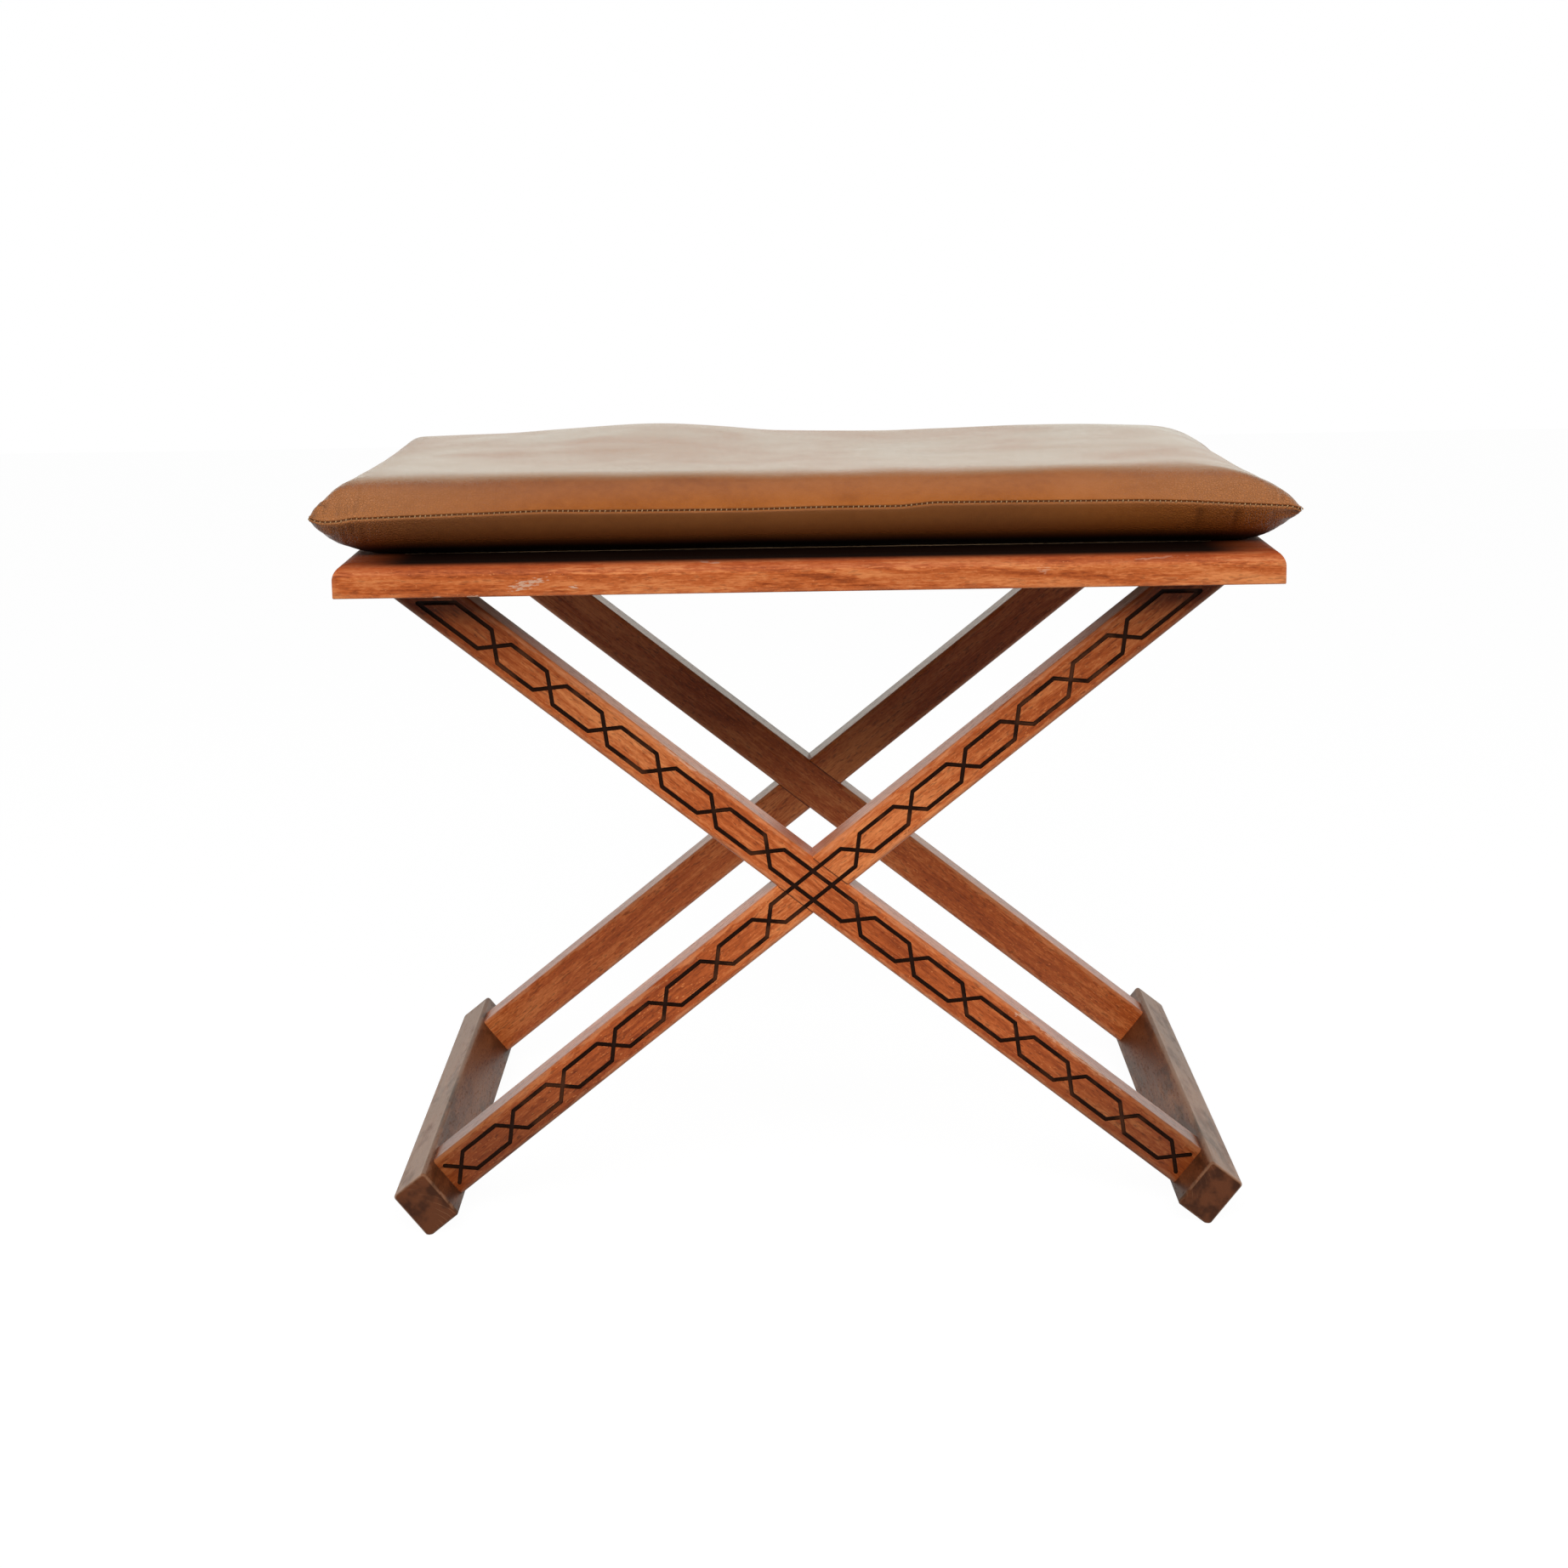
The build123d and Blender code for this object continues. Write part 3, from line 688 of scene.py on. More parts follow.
# Points of the top and the bottom cover on the grid.
# Plan: each side is drawn in by the pull times one less the square of the share along it.
# Height: seam height plus what is left to the crown times the joined slopes, or down to nought.
def coverSurfaces(acrossLines, alongLines):
    halfLength, halfDepth = cushion["halfLength"], cushion["halfDepth"]
    s = (acrossLines["place"] / halfLength)[None, :]
    t = (alongLines["place"] / halfDepth)[:, None]
    endRun, longRun = acrossLines["run"][None, :], alongLines["run"][:, None]
    lift = np.minimum(acrossLines["rise"][None, :], alongLines["rise"][:, None])
    x = s * (halfLength - cushion["sidePull"] * (1 - t ** 2))
    y = t * (halfDepth - cushion["sidePull"] * (1 - s ** 2))
    leftShare, rightShare, rearShare = np.clip(-s, 0, 1), np.clip(s, 0, 1), (1 + t) / 2
    x = x + leftShare * rearShare * cushion["rearLeftDraw"] - rightShare ** 3 * cushion["rightDraw"]
    x = x - cushion["frontLeftReach"] * leftShare ** 10 * ((1 - t) / 2) ** 10
    corner = cushion["cornerRound"]
    cornerShare = (np.clip(1 - (1 - np.abs(s)) * halfLength / corner, 0, 1)
                   * np.clip(1 - (1 - np.abs(t)) * halfDepth / corner, 0, 1))
    x = x - np.sign(s) * cushion["cornerDraw"] * cornerShare
    y = y - np.sign(t) * cushion["cornerDraw"] * cornerShare
    frontEasing, rearEasing = cushion["seamEasing"]
    seam = (smoothAlong(s, cushion["frontSeam"], frontEasing) * (1 - rearShare)
            + smoothAlong(s, cushion["rearSeam"], rearEasing) * rearShare)

    def slopes(reach, power, corner):
        front, right, rear, left = reach
        endWay = riseOf(endRun, np.where(s > 0, right, left), power)
        longWay = riseOf(longRun, np.where(t > 0, rear, front), power)
        return joined(endWay, longWay, corner)

    slope = slopes(cushion["topReach"], cushion["topPower"], cushion["topCorner"])
    crown = cushion["crown"] + cushion["dome"] * (1 - s ** 2) * (1 - t ** 2)
    rearPlace, rearWidth = cushion["lobeRear"]
    for place, width, height in cushion["lobes"]:
        crown = crown + height * np.exp(-((x - place) / width) ** 2 - ((y - rearPlace) / rearWidth) ** 2)
    top = seam + lift + (crown - seam - lift.max()) * slope
    rippleWidth, rippleHeight = cushion["ripple"]
    top = top + rippleHeight * latticeNoise(x, y, rippleWidth, cushion["seed"]) * slope
    # a small ear of leather stands up behind the front left corner
    earIn, earHeight, earWidth = cushion["ear"]
    earPlace = np.hypot(x + halfLength - earIn, y + halfDepth - earIn)
    top = top + earHeight * np.exp(-(earPlace / earWidth) ** 2) * np.clip(slope / cushion["earFoot"], 0, 1)
    underSlope = slopes(cushion["underReach"], cushion["underPower"], cushion["underCorner"])
    under = (seam - lift) * (1 - underSlope)
    return [np.stack([x, y, z + cushion["rest"]], -1) for z in (top, under)]


# One closed mesh of two grids that share their border. marks is a value for each point.
def closedCover(name, topPoints, underPoints, marks=None):
    rows, columns = topPoints.shape[:2]
    topIndex = np.arange(rows * columns).reshape(rows, columns)
    underIndex = topIndex.copy()
    inner = (rows - 2) * (columns - 2)
    underIndex[1:-1, 1:-1] = rows * columns + np.arange(inner).reshape(rows - 2, columns - 2)
    points = np.concatenate([topPoints.reshape(-1, 3), underPoints[1:-1, 1:-1].reshape(-1, 3)])
    quads = []
    for index, corners in ((topIndex, (0, 1, 3, 2)), (underIndex, (0, 2, 3, 1))):
        around = np.stack([index[:-1, :-1], index[:-1, 1:], index[1:, :-1], index[1:, 1:]], -1)
        quads.append(around.reshape(-1, 4)[:, corners])
    mesh = bpy.data.meshes.new(name)
    mesh.from_pydata(points.tolist(), [], np.concatenate(quads).tolist())
    mesh.polygons.foreach_set("use_smooth", np.ones(len(mesh.polygons), bool))
    for key, (onTop, onUnder) in (marks or {}).items():
        values = np.concatenate([onTop.ravel(), onUnder[1:-1, 1:-1].ravel()]).astype(np.float32)
        mesh.attributes.new(key, "FLOAT", "POINT").data.foreach_set("value", values)
    return addObject(name, mesh)


swell = {
    "frames": 20,
    "pressure": 4.0,
    "mass": 0.4,
    "stretch": 30,
    "bend": 2.0,
    "spare": -0.004,       # shrinkage; below nought, the leather is larger than the form it is sewn over
    "hold": 0.12,          # how firmly the filling keeps the leather to its form
    "cap": 0.006,          # no point moves further
    "easing": 24,          # passes that even out the swell
}


# Blows the sewn covers up a little as cloth, with the seam held, and returns how each point moved.
def simulatedSwell(acrossLines, alongLines):
    topPoints, underPoints = coverSurfaces(acrossLines, alongLines)
    trial = closedCover("coverTrial", topPoints, underPoints)
    rows, columns = topPoints.shape[:2]
    border = np.ones((rows, columns), bool)
    border[1:-1, 1:-1] = False
    held = trial.vertex_groups.new(name="held")
    held.add(list(range(len(trial.data.vertices))), swell["hold"], "REPLACE")
    held.add(np.flatnonzero(border.ravel()).tolist(), 1.0, "REPLACE")
    cloth = trial.modifiers.new("cloth", "CLOTH")
    cloth.settings.quality = 5
    cloth.settings.mass = swell["mass"]
    cloth.settings.tension_stiffness = swell["stretch"]
    cloth.settings.compression_stiffness = swell["stretch"]
    cloth.settings.bending_stiffness = swell["bend"]
    cloth.settings.use_pressure = True
    cloth.settings.uniform_pressure_force = swell["pressure"]
    cloth.settings.shrink_min = swell["spare"]
    cloth.settings.effector_weights.gravity = 0
    cloth.settings.vertex_group_mass = "held"
    cloth.point_cache.frame_end = swell["frames"]
    for number in range(1, swell["frames"] + 1):
        bpy.context.scene.frame_set(number)
    evaluated = trial.evaluated_get(bpy.context.evaluated_depsgraph_get())
    moved = np.zeros(len(trial.data.vertices) * 3, np.float32)
    evaluated.data.vertices.foreach_get("co", moved)
    still = np.zeros_like(moved)
    trial.data.vertices.foreach_get("co", still)
    shift = (moved - still).reshape(-1, 3)
    bpy.data.objects.remove(trial)
    bpy.context.scene.frame_set(1)
    length = np.linalg.norm(shift, axis=1, keepdims=True)
    shift = shift * np.minimum(1, swell["cap"] / np.maximum(length, 1e-9))
    topShift = shift[:rows * columns].reshape(rows, columns, 3)
    underShift = np.zeros_like(topShift)
    underShift[1:-1, 1:-1] = shift[rows * columns:].reshape(rows - 2, columns - 2, 3)
    return topShift, underShift


# A grid of shifts with its border kept: each pass averages a point with its four neighbours.
def eased(shift):
    for _ in range(swell["easing"]):
        around = shift[:-2, 1:-1] + shift[2:, 1:-1] + shift[1:-1, :-2] + shift[1:-1, 2:]
        shift[1:-1, 1:-1] = (shift[1:-1, 1:-1] + around / 4) / 2
    return shift


# Matrix that takes values on the known lines to the wanted ones, straight between neighbours.
def betweenLines(known, wanted):
    right = np.clip(np.searchsorted(known, wanted), 1, len(known) - 1)
    share = np.clip((wanted - known[right - 1]) / (known[right] - known[right - 1]), 0, 1)
    matrix = np.zeros((len(wanted), len(known)))
    matrix[np.arange(len(wanted)), right - 1] = 1 - share
    matrix[np.arange(len(wanted)), right] = share
    return matrix


# Unit normals of a grid of points, from the cross product of its two slopes.
def gridNormals(points):
    normals = np.cross(np.gradient(points, axis=1), np.gradient(points, axis=0))
    return normals / np.maximum(np.linalg.norm(normals, axis=-1, keepdims=True), 1e-12)


creasing = {
    "start": 0.003,         # full depth this far from the seam
    "clear": 0.0025,        # and none at the seam of the next side
    "ridge": 0.35,          # share of the depth
    "ridgePlace": 1.8,      # half widths from the middle
}
# Creases at the seam: place along the side, half width, depth, reach from the seam, lean
frontTopCreases = (
    (-0.3125, 0.0012, 0.00119, 0.016, 0.25), (-0.3075, 0.0011, 0.00136, 0.020, 0.20),
    (-0.3030, 0.0013, 0.00153, 0.022, 0.15), (-0.2980, 0.0012, 0.00102, 0.020, 0.12),
    (-0.2925, 0.0014, 0.00119, 0.026, 0.10), (-0.2860, 0.0013, 0.00068, 0.018, 0.05),
    (0.3010, 0.0014, 0.00085, 0.020, -0.15), (0.3070, 0.0012, 0.00102, 0.016, -0.20),
)
frontUnderCreases = (
    (-0.3060, 0.0014, 0.00136, 0.016, 0.10), (-0.2995, 0.0013, 0.00187, 0.024, 0.02),
    (-0.2945, 0.0012, 0.00170, 0.022, -0.04), (-0.2875, 0.0015, 0.00136, 0.022, -0.06),
    (0.2540, 0.0016, 0.00136, 0.022, -0.10), (0.2780, 0.0016, 0.00153, 0.024, -0.14),
    (0.3020, 0.0013, 0.00085, 0.018, -0.15),
)


# Creases of a side that the photograph hides: most near its corners, few along it.
def randomCreases(half, seed):
    pick = np.random.default_rng(seed)
    nearCorners = [side * (half - pick.uniform(0.006, 0.040, 6)) for side in (-1, 1)]
    places = np.concatenate(nearCorners + [pick.uniform(-half, half, 4)])
    return [(place, pick.uniform(0.0011, 0.0017), pick.uniform(0.00068, 0.00170),
             pick.uniform(0.014, 0.026), -0.2 * np.sign(place) * pick.uniform(0.2, 1))
            for place in places]


# Depth of the creases: a bell across each, with a slight ridge at either side, wider further from
# the seam and fading at its reach.
def creaseDepth(along, away, creases):
    depth = np.zeros(np.broadcast(along, away).shape)
    for place, width, deep, reach, lean in creases:
        across = (along - place - lean * away) / (width * (1.0 + away / reach))
        fade = np.clip(away / creasing["start"], 0, 1) * np.clip(1 - away / reach, 0, 1)
        ridge = creasing["ridge"] * np.exp(-(np.abs(across) - creasing["ridgePlace"]) ** 2)
        depth = depth + deep * fade * (np.exp(-across ** 2) - ridge)
    return depth


# What the leather's material reads at each point, from the way in from the seam and up the lip.
seamMarks = {
    "valleyShade": 0.00070,              # half height of the painted shade in the valley between the lips
    "earHole": (0.0022, 0.0016),    # painted shade in the hollow behind the ear: in from the front left corner's two sides, half width
    "lip": (0.0011, 0.0005),        # up from the seam, half height: the lower lip, made paler
    "lipWidth": 0.0015,
    "grained": (0.004, 0.024),      # the grain is full to here, and shows this much further in
    "grainedEnds": (0.16, 0.10),    # from this far from the middle, growing over this length
    "grainedLeast": 0.15,
    "creaseDepth": 0.001,           # a crease this deep has its darkest painted shade
}


# Each mark is a bell about its place, for the top cover and the under one.
def coverMarks(x, y, away, lift, depths):
    # Painted shade in the seam's valley and in the hollow behind the ear, and in the creases by their depth
    seam = np.exp(-(lift / seamMarks["valleyShade"]) ** 2)
    holeIn, holeWidth = seamMarks["earHole"]
    hole = np.hypot(x + cushion["halfLength"] - holeIn, y + cushion["halfDepth"] - holeIn)
    seam = np.maximum(seam, np.exp(-(hole / holeWidth) ** 2))
    lipUp, lipHeight = seamMarks["lip"]
    lip = np.exp(-((lift - lipUp) / lipHeight) ** 2) * (away < seamMarks["lipWidth"])
    endsFrom, endsOver = seamMarks["grainedEnds"]
    nearEnds = np.clip((np.abs(x) - endsFrom) / endsOver, seamMarks["grainedLeast"], 1)
    full, further = seamMarks["grained"]
    grained = np.exp(-(np.maximum(away - full, 0) / further) ** 2) * nearEnds
    creases = tuple(np.clip(depth / seamMarks["creaseDepth"], 0, 1) for depth in depths)
    return {"creaseShade": creases, "seamValleyShade": (seam, seam), "lip": (0 * lip, lip),
            "grained": (grained, grained)}


def makeCushion():
    acrossLines = gridLines(cushion["halfLength"], fineGrid, True)
    alongLines = gridLines(cushion["halfDepth"], fineGrid, True)
    topPoints, underPoints = coverSurfaces(acrossLines, alongLines)
    roughAcross = gridLines(cushion["halfLength"], clothGrid, False)
    roughAlong = gridLines(cushion["halfDepth"], clothGrid, False)
    toAcross = betweenLines(roughAcross["place"], acrossLines["place"])
    toAlong = betweenLines(roughAlong["place"], alongLines["place"])
    for points, shift in zip((topPoints, underPoints), simulatedSwell(roughAcross, roughAlong)):
        points += np.einsum("ij,jkc,lk->ilc", toAlong, eased(shift), toAcross)
    x, y = topPoints[..., 0], topPoints[..., 1]
    endAway = (cushion["halfLength"] - np.abs(acrossLines["place"]))[None, :] * np.ones_like(x)
    longAway = (cushion["halfDepth"] - np.abs(alongLines["place"]))[:, None] * np.ones_like(x)
    away = np.minimum(endAway, longAway)
    # each side: its points, places along it, way in from it, half length, and for the top and the
    # under cover its creases, or a seed for random ones
    sides = ((y < 0, x, longAway, cushion["halfLength"], (frontTopCreases, frontUnderCreases)),
             (x > 0, y, endAway, cushion["halfDepth"], (31, 32)),
             (y > 0, x, longAway, cushion["halfLength"], (33, 34)),
             (x < 0, y, endAway, cushion["halfDepth"], (35, 36)))
    depths = []
    for number, (points, outwards) in enumerate(((topPoints, 1), (underPoints, -1))):
        depth = np.zeros_like(x)
        for here, along, fromSide, half, sources in sides:
            creases = sources[number]
            if isinstance(creases, int):
                creases = randomCreases(half, cushion["seed"] + creases)
            depth += np.where(here, creaseDepth(along, fromSide, creases), 0)
        depth = depth * np.clip(away / creasing["clear"], 0, 1)
        points -= outwards * gridNormals(points) * depth[..., None]
        depths.append(depth)
    underPoints[..., 2] = np.maximum(underPoints[..., 2], cushion["rest"])
    lift = np.minimum(acrossLines["rise"][None, :], alongLines["rise"][:, None])
    marks = coverMarks(x, y, away, lift, depths)
    cover = closedCover("cushionCover", topPoints, underPoints, marks)
    cover.data.materials.append(leatherMaterial())
    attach(cover, "cushion")
    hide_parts("cushion_top_cover", "cushion_bottom_cover", "cushion_filling")
    print("cushion cover:", len(cover.data.polygons), "faces")
    return topPoints


leather = {
    "deep": (0.250, 0.066, 0.011),
    "mid": (0.375, 0.112, 0.020),
    "pale": (0.450, 0.150, 0.036),
    "cloud": ((9, 9, 9), 4.0, 0.55, 0.4),    # spots to the metre, detail, roughness, distortion
    "fine": ((160, 160, 160), 4.0, 0.60),
    "fineShare": 0.25,
    "soft": ((60, 60, 60), 2.0, 0.50),
    "pore": ((1500, 1500, 1500), 2.0, 0.50),
    "roughness": 0.19,
    "gloss": 1.50,                      # index of refraction
    "pebble": 0.0019,                   # width of one grain of the leather
    "pebbleShare": 0.60,
    "creaseShade": (0.060, 0.017, 0.005),
    "creaseShare": 0.58,
    "seamShare": 0.95,
    "lip": (0.56, 0.23, 0.085),
    "lipShare": 0.35,
    "topSheen": (0.450, 0.262, 0.120),     # painted sheen on the top: greyer and paler
    "topSheenFacing": (0.93, 0.995),       # how far a place faces up: none, all
    "topSheenShare": (0.25, 0.52),
    "endSheen": (0.560, 0.250, 0.105),    # painted sheen on the slopes near the corners
    "endSheenFrom": (0.14, 0.28),         # out from the middle: none, all
    "endSheenFacing": (0.86, 0.97),       # none where a place faces further up
    "endSheenShare": 0.40,
    "under": (0.215, 0.092, 0.040),     # painted shade and greyish reflection on the lower cover, where it faces down
    "underShare": 0.45,
    "underRight": (0.25, 0.12, 0.15),   # at the right: falls between these places, to this share
    "rim": (0.068, 0.048),              # the lower edge starts this far in from the seam
    "shadeRed": (0.200, 0.032, 0.002),       # there, painted shade: redder towards the frame
    "shadeRedHeight": (0.022, 0.008),
    "shadeRedShare": 0.50,
    "contactShade": (0.004, 0.0015, 0.0008),   # and painted shade, dark where it meets the frame
    "contactShadeHeight": (0.012, 0.002),
    "contactShadeRoughness": 0.80,
    "softDepth": 0.0006,                # of the bumps
    "poreDepth": 0.00006,
    "pebbleDepth": 0.00035,
    "pebbleBump": (0.12, 0.85),         # strength everywhere, and more where the grain shows
}


# Tan leather: cloudy colour, pebbled grain that is clearest by the seams, painted shade in the grain's
# valleys, in the creases and underneath, and painted sheen on the top and near the ends.
def leatherMaterial():
    material, tree, shader = newMaterial("tanLeather")

    def markOf(name):
        return addNode(tree, "Attribute", attribute_name=name).outputs["Fac"]

    place = objectPlace(tree)
    parts = axesOf(tree, place)
    facing = facingOf(tree)[2]
    grained = markOf("grained")
    cloud = noiseAt(tree, place, *leather["cloud"])
    fine = noiseAt(tree, place, *leather["fine"])
    tone = addShare(tree, times(tree, cloud, 1 - leather["fineShare"]), fine, leather["fineShare"])
    colour = rampOf(tree, tone, ((0.30, leather["deep"]), (0.52, leather["mid"]), (0.80, leather["pale"])))
    cells = addNode(tree, "TexVoronoi", {"Vector": place, "Scale": 1 / leather["pebble"], "Randomness": 0.9},
                    feature="DISTANCE_TO_EDGE").outputs["Distance"]
    pebble = spread(tree, cells, 0.0, 0.22)
    # painted shade in the grain's valleys, where the grain shows
    valleyShade = times(tree, times(tree, minus(tree, 1.0, pebble), grained), leather["pebbleShare"])
    colour = blendColour(tree, valleyShade, colour, leather["deep"])
    # painted shade in the creases, the seam's valley and the hollow behind the ear
    dark = doMath(tree, "MAXIMUM", times(tree, markOf("creaseShade"), leather["creaseShare"]),
                  times(tree, markOf("seamValleyShade"), leather["seamShare"]))
    colour = blendColour(tree, dark, colour, leather["creaseShade"])
    colour = blendColour(tree, times(tree, markOf("lip"), leather["lipShare"]), colour, leather["lip"])

    # painted sheen where the cover faces up
    topSheen = times(tree, spread(tree, facing, *leather["topSheenFacing"]),
                  spread(tree, cloud, 0.62, 0.40, *leather["topSheenShare"]))
    colour = blendColour(tree, topSheen, colour, leather["topSheen"])
    fromMiddle = doMath(tree, "ABSOLUTE", parts[0])
    # painted sheen on the slopes towards the ends
    sideways = minus(tree, 1.0, spread(tree, doMath(tree, "ABSOLUTE", facing), *leather["endSheenFacing"]))
    endSheen = spread(tree, fromMiddle, *leather["endSheenFrom"], 0.0, leather["endSheenShare"])
    endSheen = times(tree, times(tree, endSheen, sideways), doMath(tree, "GREATER_THAN", facing, 0.0))
    colour = blendColour(tree, endSheen, colour, leather["endSheen"])
    # painted shade and greyish reflection where the cover faces down, less at the right
    lower = times(tree, spread(tree, facing, 0.0, -0.3, 0.0, leather["underShare"]),
                  spread(tree, parts[0], *leather["underRight"], 1.0))
    colour = blendColour(tree, lower, colour, leather["under"])

    fromEnd = minus(tree, cushion["halfLength"], fromMiddle)
    fromSide = minus(tree, cushion["halfDepth"], doMath(tree, "ABSOLUTE", parts[1]))
    rim = spread(tree, doMath(tree, "MINIMUM", fromEnd, fromSide), *leather["rim"])
    height = minus(tree, parts[2], cushion["rest"])
    # painted shade of the lower edge: redder, then dark where it meets the frame
    shadeRed = times(tree, spread(tree, height, *leather["shadeRedHeight"], 0.0, leather["shadeRedShare"]), rim)
    colour = blendColour(tree, shadeRed, colour, leather["shadeRed"])
    contactShade = times(tree, spread(tree, height, *leather["contactShadeHeight"]), rim)
    colour = blendColour(tree, contactShade, colour, leather["contactShade"])

    rough = addShare(tree, leather["roughness"], minus(tree, cloud, 0.5), 0.25)
    rough = plus(tree, rough, times(tree, contactShade, leather["contactShadeRoughness"]), clamp=True)
    pore = spread(tree, noiseAt(tree, place, *leather["pore"]), 0.35, 0.65)
    softBump = bumpOf(tree, noiseAt(tree, place, *leather["soft"]), leather["softDepth"], 0.05)
    poreBump = bumpOf(tree, pore, leather["poreDepth"], 0.5, softBump)
    everywhere, more = leather["pebbleBump"]
    strength = addShare(tree, everywhere, grained, more)
    relief = bumpOf(tree, pebble, leather["pebbleDepth"], strength, poreBump)
    setInputs(tree, shader, {"Base Color": colour, "Roughness": rough, "IOR": leather["gloss"],
                             "Normal": relief})
    return material


stitching = {
    "pitch": 0.0034,
    "thread": 0.00040,                 # radius
    "height": 0.0015,                  # from lip to lip
    "bow": 0.0003,                     # outwards, half way up
    "slant": 0.12,                     # share of the height
    "unevenness": (0.75, 1.15),        # least and most, of the height and slant
    "stand": (0.00020, -0.00035),      # inside the lips' outermost line: left end, right end
    "colour": (0.60, 0.36, 0.17),
    "shade": 0.55,                     # of the colour, in the twist
    "roughness": 0.65,
}


# Waxed tan thread with a fine twist.
def threadMaterial():
    material, tree, shader = newMaterial("tanThread")
    twist = noiseAt(tree, objectPlace(tree), (2600, 2600, 2600), 1.0)
    deep = tuple(stitching["shade"] * value for value in stitching["colour"])
    colour = rampOf(tree, twist, ((0.35, deep), (0.6, stitching["colour"])))
    setInputs(tree, shader, {"Base Color": colour, "Roughness": stitching["roughness"]})
    return material


# Short arched stitches across the seam all the way round. Each is a tube of six sides, thinner at
# its ends: its line bows outwards as a cosine between the lips.
def makeStitches(topPoints):
    border = np.concatenate([topPoints[0], topPoints[1:, -1], topPoints[-1, -2::-1], topPoints[-2:0:-1, 0]])
    closed = np.vstack([border, border[:1]])
    lengths = np.concatenate([[0], np.cumsum(np.linalg.norm(np.diff(closed, axis=0), axis=1))])

    def pointsAt(places):
        return np.stack([np.interp(places, lengths, closed[:, axis]) for axis in range(3)], -1)

    count = int(lengths[-1] / stitching["pitch"])
    places = (np.arange(count) + 0.5) * lengths[-1] / count
    step = 0.001
    centres = pointsAt(places)
    ahead = pointsAt(places + step) - centres
    tangents = ahead / np.linalg.norm(ahead, axis=1, keepdims=True)
    outward = np.cross(tangents, (0, 0, 1))
    outward /= np.linalg.norm(outward, axis=1, keepdims=True)
    upward = np.cross(outward, tangents)

    rings, sides = 6, 6
    along = np.linspace(-1, 1, rings)[:, None]
    turn = (np.arange(sides) * 2 * math.pi / sides)[None, :]
    fat = stitching["thread"] * np.sqrt(np.clip(1.05 - along ** 8, 0, 1))
    out = cushion["lip"] + stitching["bow"] * np.cos(along * math.pi / 2) + fat * np.cos(turn)
    side = fat * np.sin(turn) + stitching["slant"] * stitching["height"] * along
    up = along * stitching["height"] / 2 + 0 * turn
    uneven = np.random.default_rng(cushion["seed"] + 50).uniform(*stitching["unevenness"], (count, 1, 1))
    out, side, up = (part.reshape(1, -1, 1) for part in (out, side, up))
    leftStand, rightStand = stitching["stand"]
    rightShare = np.clip(centres[:, :1] / cushion["halfLength"] * 2 + 0.5, 0, 1)[..., None]
    out = out - (1 - rightShare) * leftStand - rightShare * rightStand
    points = (centres[:, None] + out * outward[:, None] + side * uneven * tangents[:, None]
              + up * uneven * upward[:, None])
    index = np.arange(rings * sides).reshape(rings, sides)
    nextSide = np.roll(index, -1, axis=1)
    quads = np.stack([index[:-1], nextSide[:-1], nextSide[1:], index[1:]], -1).reshape(-1, 4)
    caps = np.array([index[0][::-1], index[-1]])
    offsets = (np.arange(count) * rings * sides)[:, None, None]
    faces = (quads[None] + offsets).reshape(-1, 4).tolist()
    faces += (caps[None] + offsets).reshape(-1, sides).tolist()
    mesh = bpy.data.meshes.new("seamStitches")
    mesh.from_pydata(points.reshape(-1, 3).tolist(), [], faces)
    mesh.polygons.foreach_set("use_smooth", np.ones(len(mesh.polygons), bool))
    stitches = addObject("seamStitches", mesh)
    mesh.materials.append(threadMaterial())
    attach(stitches, "cushion")
    print("stitches:", count)


# Stage and light

studio = {
    "skyFront": 0.09,            # strength of the surroundings as light, towards the camera
    "skyBack": 0.40,
    "skyTop": 0.20,
    "mirrorFront": 0.06,         # the same as a mirror would show them
    "mirrorBack": 1.03,
    "mirrorTint": (0.98, 1.0, 0.92),
    "backdropTop": 0.44,         # sine of the height, seen from the object, where the backdrop ends
    "backdropBlur": 0.09,
    "floorSize": 12.0,
    "floorFade": 1.2,            # in mirrors the floor turns from dark to pale over this half depth
    "floorGlow": 0.97,           # what the camera sees of the floor without the lamps
    "floorLit": (0.06, 0.06, 0.06),          # and of their light
    "floorColour": (0.45, 0.45, 0.45),       # as the object meets it
    "aim": (0, 0, 0.35),
}
# Lamps: place, size, watts, whether mirrors show them
lamps = {
    "keyLamp": ((0.0, -1.80, 2.10), (2.6, 1.5), 27.0, False),      # as through a large soft cloth
    "lowLamp": ((0.0, -2.30, 1.55), (2.6, 0.6), 33.0, False),      # from the front, under the seat
    "glintLamp": ((0.0, -1.80, 2.10), (2.6, 1.5), 3.0, True),      # what the gloss shows of the key light
    "topLamp": ((0.0, 0.45, 1.9), (1.8, 1.2), 3.0, True),
}


# From nought towards the camera to one behind the object.
def behindShare(tree, vector, low, high):
    return spread(tree, axesOf(tree, vector)[1], low, high)


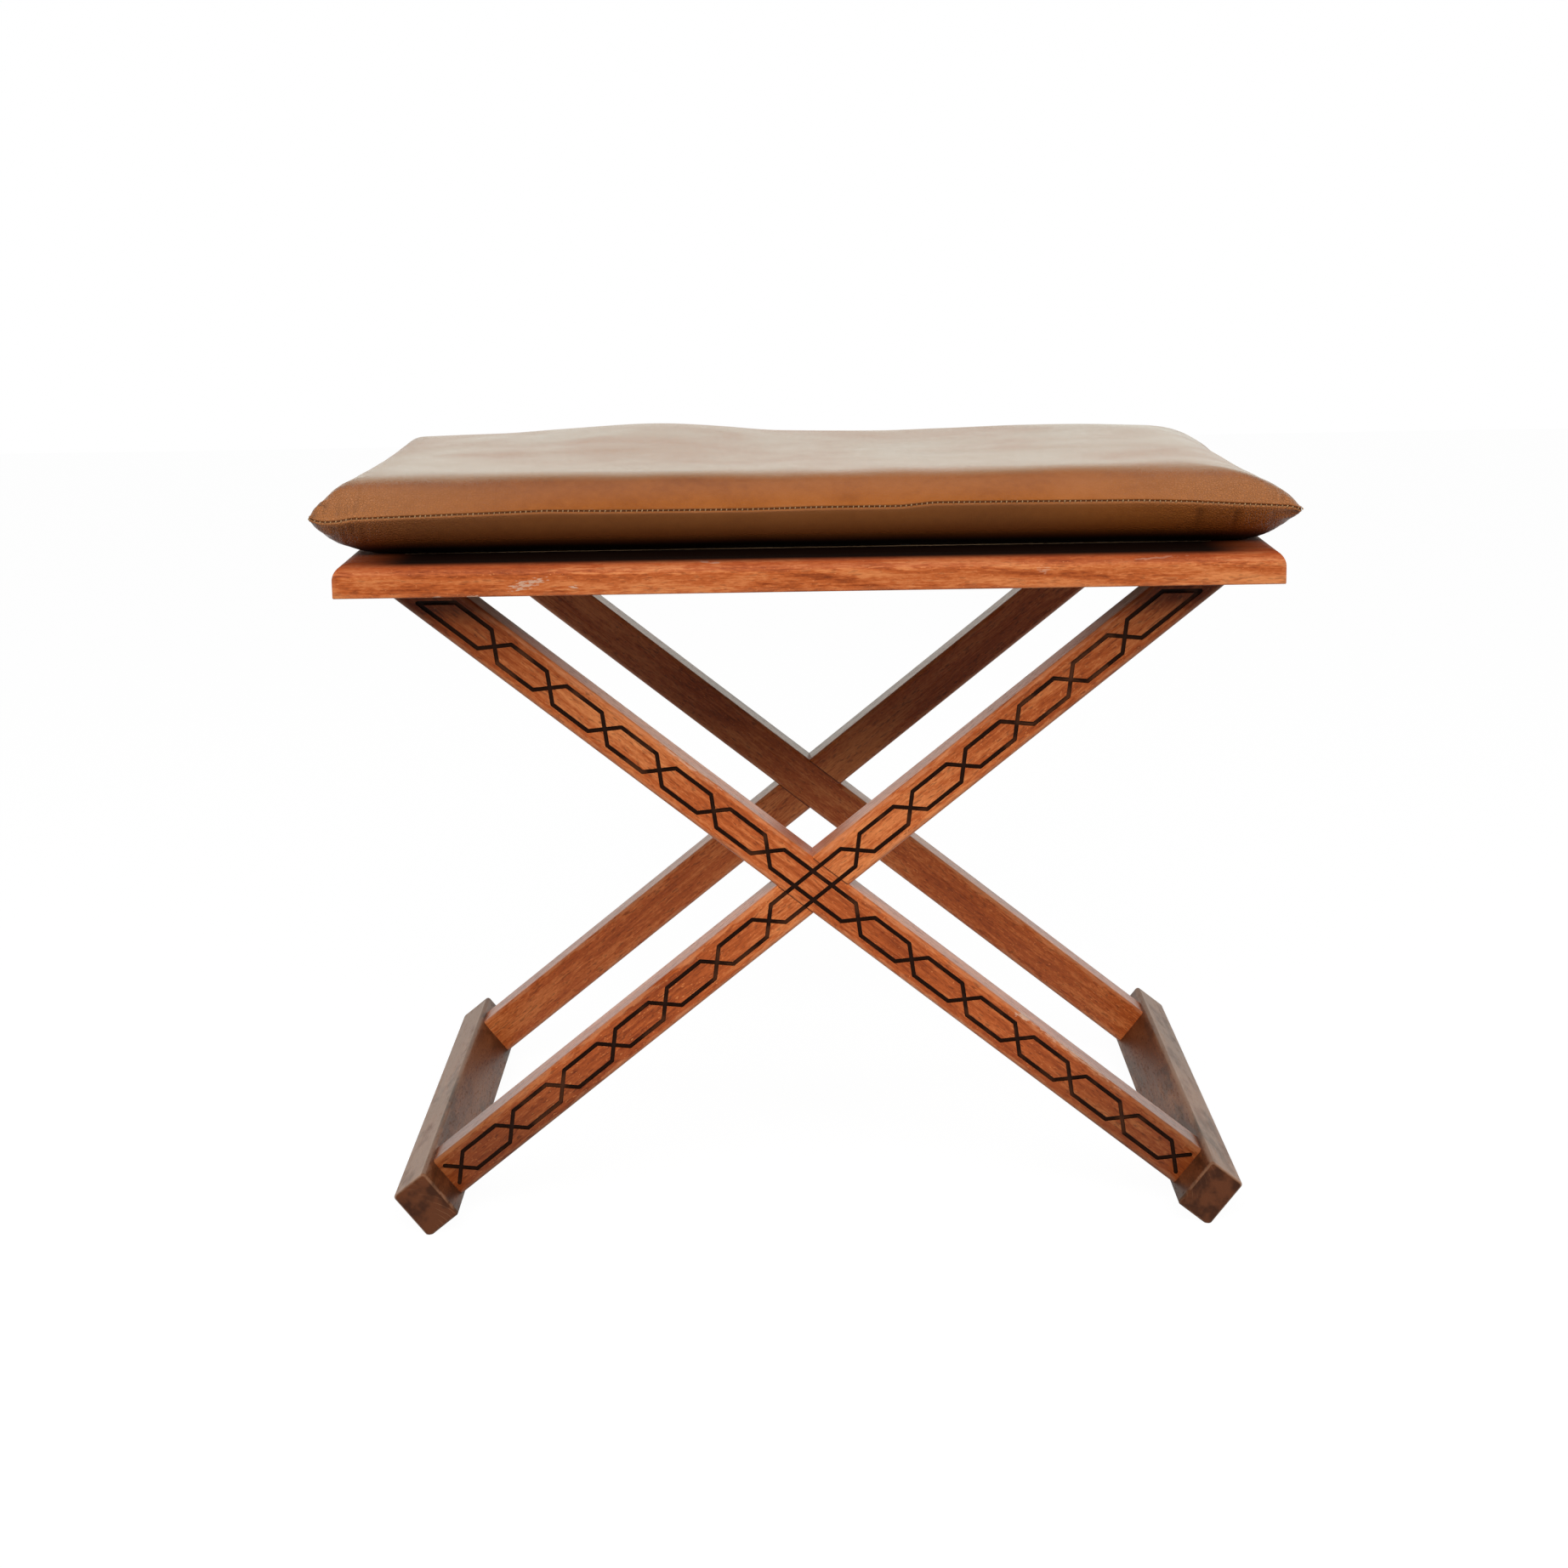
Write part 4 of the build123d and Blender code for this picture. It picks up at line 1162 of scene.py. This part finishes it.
# Seen by the camera or in a mirror, the floor glows white. The object meets it as plain grey.
def makeFloor():
    half = studio["floorSize"] / 2
    mesh = bpy.data.meshes.new("floor")
    corners = [(-half, -half, 0), (half, -half, 0), (half, half, 0), (-half, half, 0)]
    mesh.from_pydata(corners, [], [(0, 1, 2, 3)])
    addObject("floor", mesh)
    material, tree, shader = newMaterial("paleFloor")
    tree.nodes.remove(shader)
    rays = addNode(tree, "LightPath").outputs
    mirror = spread(tree, behindShare(tree, objectPlace(tree), -studio["floorFade"], studio["floorFade"]),
                    0.0, 1.0, studio["mirrorFront"], 1.0, False)
    strength = times(tree, doMath(tree, "MAXIMUM", mirror, rays["Is Camera Ray"]), studio["floorGlow"])
    glow = addNode(tree, "Emission", {"Color": (1, 1, 1, 1), "Strength": strength})
    lit = addNode(tree, "BsdfDiffuse", {"Color": (*studio["floorLit"], 1)})
    both = addNode(tree, "AddShader", {0: glow.outputs[0], 1: lit.outputs[0]})
    plain = addNode(tree, "BsdfDiffuse", {"Color": (*studio["floorColour"], 1)})
    seen = doMath(tree, "MAXIMUM", rays["Is Camera Ray"], rays["Is Glossy Ray"])
    seen = doMath(tree, "MAXIMUM", seen, rays["Is Transmission Ray"])
    mixed = addNode(tree, "MixShader", {0: seen, 1: plain.outputs[0], 2: both.outputs[0]})
    setInputs(tree, tree.nodes["Material Output"], {"Surface": mixed.outputs[0]})
    mesh.materials.append(material)


# White all round for the camera. As light it is brighter above and behind, like a lit backdrop.
def makeWorld():
    world = bpy.data.worlds.new("studio")
    bpy.context.scene.world = world
    world.use_nodes = True
    tree = world.node_tree
    way = addNode(tree, "TexCoord").outputs["Generated"]
    upward = axesOf(tree, way)[2]
    behind = behindShare(tree, way, -0.4, 0.5)
    light = spread(tree, behind, 0.0, 1.0, studio["skyFront"], studio["skyBack"], False)
    light = doMath(tree, "MAXIMUM", light, times(tree, spread(tree, upward, 0.3, 0.9), studio["skyTop"]))
    low = spread(tree, upward, studio["backdropTop"] + studio["backdropBlur"],
                 studio["backdropTop"] - studio["backdropBlur"])
    mirror = spread(tree, times(tree, behind, low), 0.0, 1.0, studio["mirrorFront"],
                    studio["mirrorBack"], False)
    rays = addNode(tree, "LightPath").outputs
    mirrored = doMath(tree, "MAXIMUM", rays["Is Glossy Ray"], rays["Is Transmission Ray"])
    strength = plus(tree, times(tree, mirrored, mirror), times(tree, minus(tree, 1.0, mirrored), light))
    strength = doMath(tree, "MAXIMUM", strength, rays["Is Camera Ray"])
    tint = blendColour(tree, mirrored, (1.0, 1.0, 1.0), studio["mirrorTint"])
    setInputs(tree, tree.nodes["Background"], {"Strength": strength, "Color": tint})


def makeLamp(name, place, size, power, mirrored):
    data = bpy.data.lights.new(name, "AREA")
    data.shape = "RECTANGLE"
    data.size, data.size_y = size
    data.energy = power
    lamp = addObject(name, data)
    lamp.location = place
    lamp.visible_glossy = mirrored
    aim = Vector(studio["aim"]) - Vector(place)
    lamp.rotation_euler = aim.to_track_quat("-Z", "Y").to_euler()


makeCamera()
makeFloor()
makeWorld()
for name, values in lamps.items():
    makeLamp(name, *values)
print("camera, floor, world and lamps made:", len(lamps), "lamps")
finishWood()
coverPoints = makeCushion()
makeStitches(coverPoints)
bpy.context.scene.view_settings.view_transform = "Standard"
